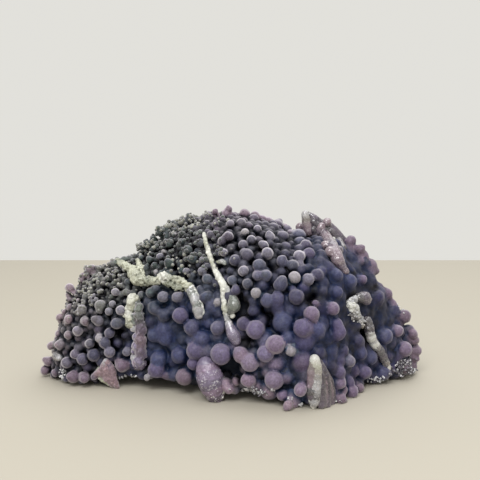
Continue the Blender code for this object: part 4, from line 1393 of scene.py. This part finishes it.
def grown_ridge(name, ripple, jitter, crumbs, balls, finish):
    """Makes a ridge as one closed skin on a grid of its own."""
    balls = with_crumbs(balls, jitter, crumbs)
    low = (balls[:, :3] - balls[:, 3:4]).min(0) - MARGIN
    high = (balls[:, :3] + balls[:, 3:4]).max(0) + MARGIN
    heights = grid_axes(low, high, FINE_STEP)
    field = np.full([len(axis) for axis in heights], OUTSIDE, np.float32)
    owner = np.zeros(field.shape, np.int16)
    for i, ball in enumerate(balls):
        width = RIDGE_MELT * min(ball[3], MOST_MELT_RADIUS)
        stamp(field, owner, low, FINE_STEP, i, ball[:3], (0, 0, 1), ball[3], 1.0, width, 0.0)
    field = above_floor(waved(field, ripple, RIPPLE_TIMES), heights[2])
    _, quads, places, _, whose, open_share = drawn(field, owner, low, FINE_STEP, 1)
    values = {"tint": balls[whose, 4:7], "open": open_share, "frost": balls[whose, 7]}
    piece(name, places, quads, finish, values)


for name, (finish, ripple, jitter, crumbs, _) in RIDGES.items():
    grown_ridge(name, ripple, jitter, crumbs, ridge_lines[name], FINISHES[finish])

# %% [markdown]
# ## Crumbs and crystal points
# The upper left is strewn with crumbs finer than the crust's grid, and broken spots at the foot show
# small crystal points. Both are one small shape set down many times. Particles would do it, but the
# result has to be a plain mesh, so the copies are written out as points and faces. They are put on
# points of the finished skin, so none of them floats.

# %% The small shapes
CRYSTAL_RADIUS, CRYSTAL_LOW, CRYSTAL_HIGH, CRYSTAL_TIP = 0.45, -0.6, 0.7, 1.25


def small_shape(kind):
    """Points and triangles of a little ball or of a six-sided crystal point, about 1 in size."""
    shape = bmesh.new()
    if kind == "ball":
        bmesh.ops.create_icosphere(shape, subdivisions=2, radius=1)
    else:
        turns = [math.pi / 3 * i for i in range(6)]
        base = [(CRYSTAL_RADIUS * math.cos(turn), CRYSTAL_RADIUS * math.sin(turn)) for turn in turns]
        low = [shape.verts.new((x, y, CRYSTAL_LOW)) for x, y in base]
        high = [shape.verts.new((x, y, CRYSTAL_HIGH)) for x, y in base]
        tip = shape.verts.new((0, 0, CRYSTAL_TIP))
        for i in range(6):
            j = (i + 1) % 6
            shape.faces.new((low[i], low[j], high[j], high[i]))
            shape.faces.new((high[i], high[j], tip))
    bmesh.ops.triangulate(shape, faces=shape.faces)
    shape.verts.index_update()
    points = np.array([v.co for v in shape.verts])
    faces = np.array([[v.index for v in f.verts] for f in shape.faces])
    shape.free()
    return points, faces


def turned(directions):
    """A rotation for each direction that takes +Z there, with a random spin about it."""
    side = chance.normal(0, 1, directions.shape)
    side = unit(side - (side * directions).sum(1, keepdims=True) * directions)
    return np.stack((side, np.cross(directions, side), directions), 2)


print("a crystal point has", len(small_shape("crystal")[1]), "triangles")

# %% Scattering a small shape
OPEN_ENOUGH = 0.5  # a small shape only sits where the skin is at least this open
SMALL_OPEN = 0.9  # how open it is itself
SMALL_SHADES = (0.45, 1.4)
LOWEST_POINT = 0.05  # nothing reaches below this height, in mm
seen = pixels(places)


def scatter(name, kind, spots, tilt, out, finish, frost):
    """Sets a small shape on open points of the skin near each spot, all of them as one piece."""
    points, faces = small_shape(kind)
    made, tints = [], []
    for x, y, across, down, count, smallest, biggest, tint in spots:
        away = ((seen[:, 0] - x) / across) ** 2 + ((seen[:, 1] - y) / down) ** 2
        weight = np.exp(-0.5 * away) * (open_share > OPEN_ENOUGH) * (places[:, 2] > biggest)
        chosen = chance.choice(len(places), count, replace=False, p=weight / weight.sum())
        size = chance.uniform(smallest, biggest, (count, 1, 1))
        towards = unit(normals[chosen] + chance.normal(0, tilt, (count, 3)))
        copies = np.einsum("nij,pj->npi", turned(towards), points) * size
        made.append(copies + places[chosen][:, None] + towards[:, None] * size * out)
        shades = np.array(tint) * chance.uniform(*SMALL_SHADES, (count, 1))
        tints.append(np.repeat(shades, len(points), 0))
    made = np.concatenate(made)
    all_faces = (faces[None] + len(points) * np.arange(len(made))[:, None, None]).reshape(-1, 3)
    made = made.reshape(-1, 3)
    made[:, 2] = np.maximum(made[:, 2], LOWEST_POINT)
    open_values = np.full(len(made), SMALL_OPEN)
    values = {"tint": np.concatenate(tints), "open": open_values, "frost": np.full(len(made), frost)}
    piece(name, made, all_faces, finish, values, kind == "ball")


# %% The crumbs
PALE_CRUMB, GREEN_CRUMB, GREY_CRUMB = (0.22, 0.225, 0.19), (0.060, 0.072, 0.065), (0.180, 0.180, 0.165)
CRUMBS = (
    # pixel x, pixel y, spread across, spread down, count, smallest and biggest radius in mm, tint
    (168, 224, 18, 3.5, 150, 0.4, 1.1, PALE_CRUMB), (194, 217, 13, 3.5, 60, 0.4, 1.0, PALE_CRUMB),
    (138, 245, 13, 4, 90, 0.4, 1.0, PALE_CRUMB), (175, 230, 24, 8, 160, 0.4, 1.0, GREEN_CRUMB),
    (170, 244, 22, 12, 110, 0.5, 1.2, GREEN_CRUMB), (103, 268, 14, 6, 130, 0.4, 1.0, GREY_CRUMB),
    (95, 286, 14, 9, 130, 0.4, 0.9, PALE_CRUMB), (78, 303, 10, 8, 80, 0.4, 0.8, GREY_CRUMB),
    (182, 266, 9, 6, 55, 0.45, 1.0, PALE_CRUMB), (205, 255, 10, 14, 40, 0.5, 1.1, GREEN_CRUMB),
    (224, 255, 5, 8, 24, 0.45, 0.9, GREY_CRUMB),
)
scatter("crumbs", "ball", CRUMBS, 0.5, 0.25, velvet_chalcedony, 0.5)

# %% The crystal points
ICE, DARK_ICE = (0.52, 0.52, 0.54), (0.13, 0.12, 0.14)
POINTS = (
    # the same as for the crumbs, with the size in place of the radius
    (402, 368, 6, 4, 130, 0.7, 1.7, DARK_ICE), (406, 369, 5, 2.5, 14, 0.8, 1.4, ICE),
    (377, 379, 4, 1.4, 34, 0.5, 1.1, ICE), (128, 375, 6, 1.2, 34, 0.5, 1.0, ICE),
    (123, 380, 2, 2, 8, 0.5, 1.0, ICE), (254, 391, 7, 2.2, 44, 0.7, 1.5, DARK_ICE),
    (254, 390, 7, 2.0, 42, 0.6, 1.3, ICE), (62.4, 375, 1.6, 4, 34, 0.6, 1.1, ICE),
    (291, 399, 1.5, 1, 7, 0.6, 1.0, ICE), (302, 405, 1.5, 1, 8, 0.6, 1.0, ICE),
    (272, 390, 1.5, 1, 6, 0.5, 1.0, ICE), (184.5, 338.4, 0.6, 1.2, 4, 0.5, 0.8, ICE),
    (402, 300, 2, 6, 10, 0.5, 0.9, ICE), (334, 404, 4, 2, 12, 0.5, 1.0, DARK_ICE),
)
scatter("crystal_points", "crystal", POINTS, 0.35, 0.1, FINISHES["druse"], 0.8)

# %% [markdown]
# ## Floor, light and camera
# The stone stands on a plain pale floor that ends behind it, under soft light from above and in
# front. The camera gets the same eye and lens that the sight lines above started from, which were
# worked out to fit the photograph.

# %% The floor
FLOOR_FAR = 0.334  # where the floor ends behind the stone, in metres
FLOOR_HALF = 1.5  # how far it reaches to each side and to the front
SAND = (0.40, 0.372, 0.312, 1)

floor_finish = Finish("pale floor")
pale_floor = floor_finish.surface({"Base Color": SAND, "Roughness": 0.7})
shape = bmesh.new()
corners = (
    (-FLOOR_HALF, -FLOOR_HALF), (FLOOR_HALF, -FLOOR_HALF),
    (FLOOR_HALF, FLOOR_FAR), (-FLOOR_HALF, FLOOR_FAR),
)
shape.faces.new([shape.verts.new((x, y, 0)) for x, y in corners])
mesh = bpy.data.meshes.new("floor")
shape.to_mesh(mesh)
shape.free()
mesh.materials.append(pale_floor)
floor = bpy.data.objects.new("floor", mesh)
bpy.context.scene.collection.objects.link(floor)

# %% The light
LIGHTS = (
    # name, place, the point it shines at, size, power: all in metres and watts
    ("window", (-0.2, -0.6, 0.8), (0, 0, 0.04), 0.5, 6.5),
    ("ceiling", (0.25, 0.3, 1.0), (0, 0.1, 0.03), 0.9, 6),
    ("lamp", (0.2, -0.5, 0.7), (0, 0, 0.04), 0.06, 1.2),
)
ROOM_LIGHT = (0.76, 0.75, 0.71, 1)


def softbox(name, place, aim, size, power):
    """Makes a square area light that shines from a place towards a point, in metres and watts."""
    light = bpy.data.lights.new(name, "AREA")
    light.size = size
    light.energy = power
    made = bpy.data.objects.new(name, light)
    made.location = place
    made.rotation_euler = (Vector(aim) - Vector(place)).to_track_quat("-Z", "Y").to_euler()
    bpy.context.scene.collection.objects.link(made)
    print("light:", name, power, "W")


for light in LIGHTS:
    softbox(*light)
bpy.context.scene.view_settings.view_transform = "Standard"
world = bpy.data.worlds.new("pale room")
world.use_nodes = True
background = world.node_tree.nodes["Background"].inputs
background["Color"].default_value = ROOM_LIGHT
background["Strength"].default_value = 1.0
bpy.context.scene.world = world

# %% The camera
SENSOR = 36  # width of the camera's sensor in mm, which turns pixels into a focal length

camera = bpy.data.cameras.new("camera")
camera.sensor_width = SENSOR
camera.lens = FOCAL_PIXELS / IMAGE_SIZE * SENSOR
eye = bpy.data.objects.new("camera", camera)
eye.location = (EYE - Vector(MIDDLE)) * MM
eye.rotation_euler = (math.pi / 2 - EYE_PITCH, 0, 0)
bpy.context.scene.collection.objects.link(eye)
bpy.context.scene.camera = eye
print("lens:", round(camera.lens, 1), "mm")
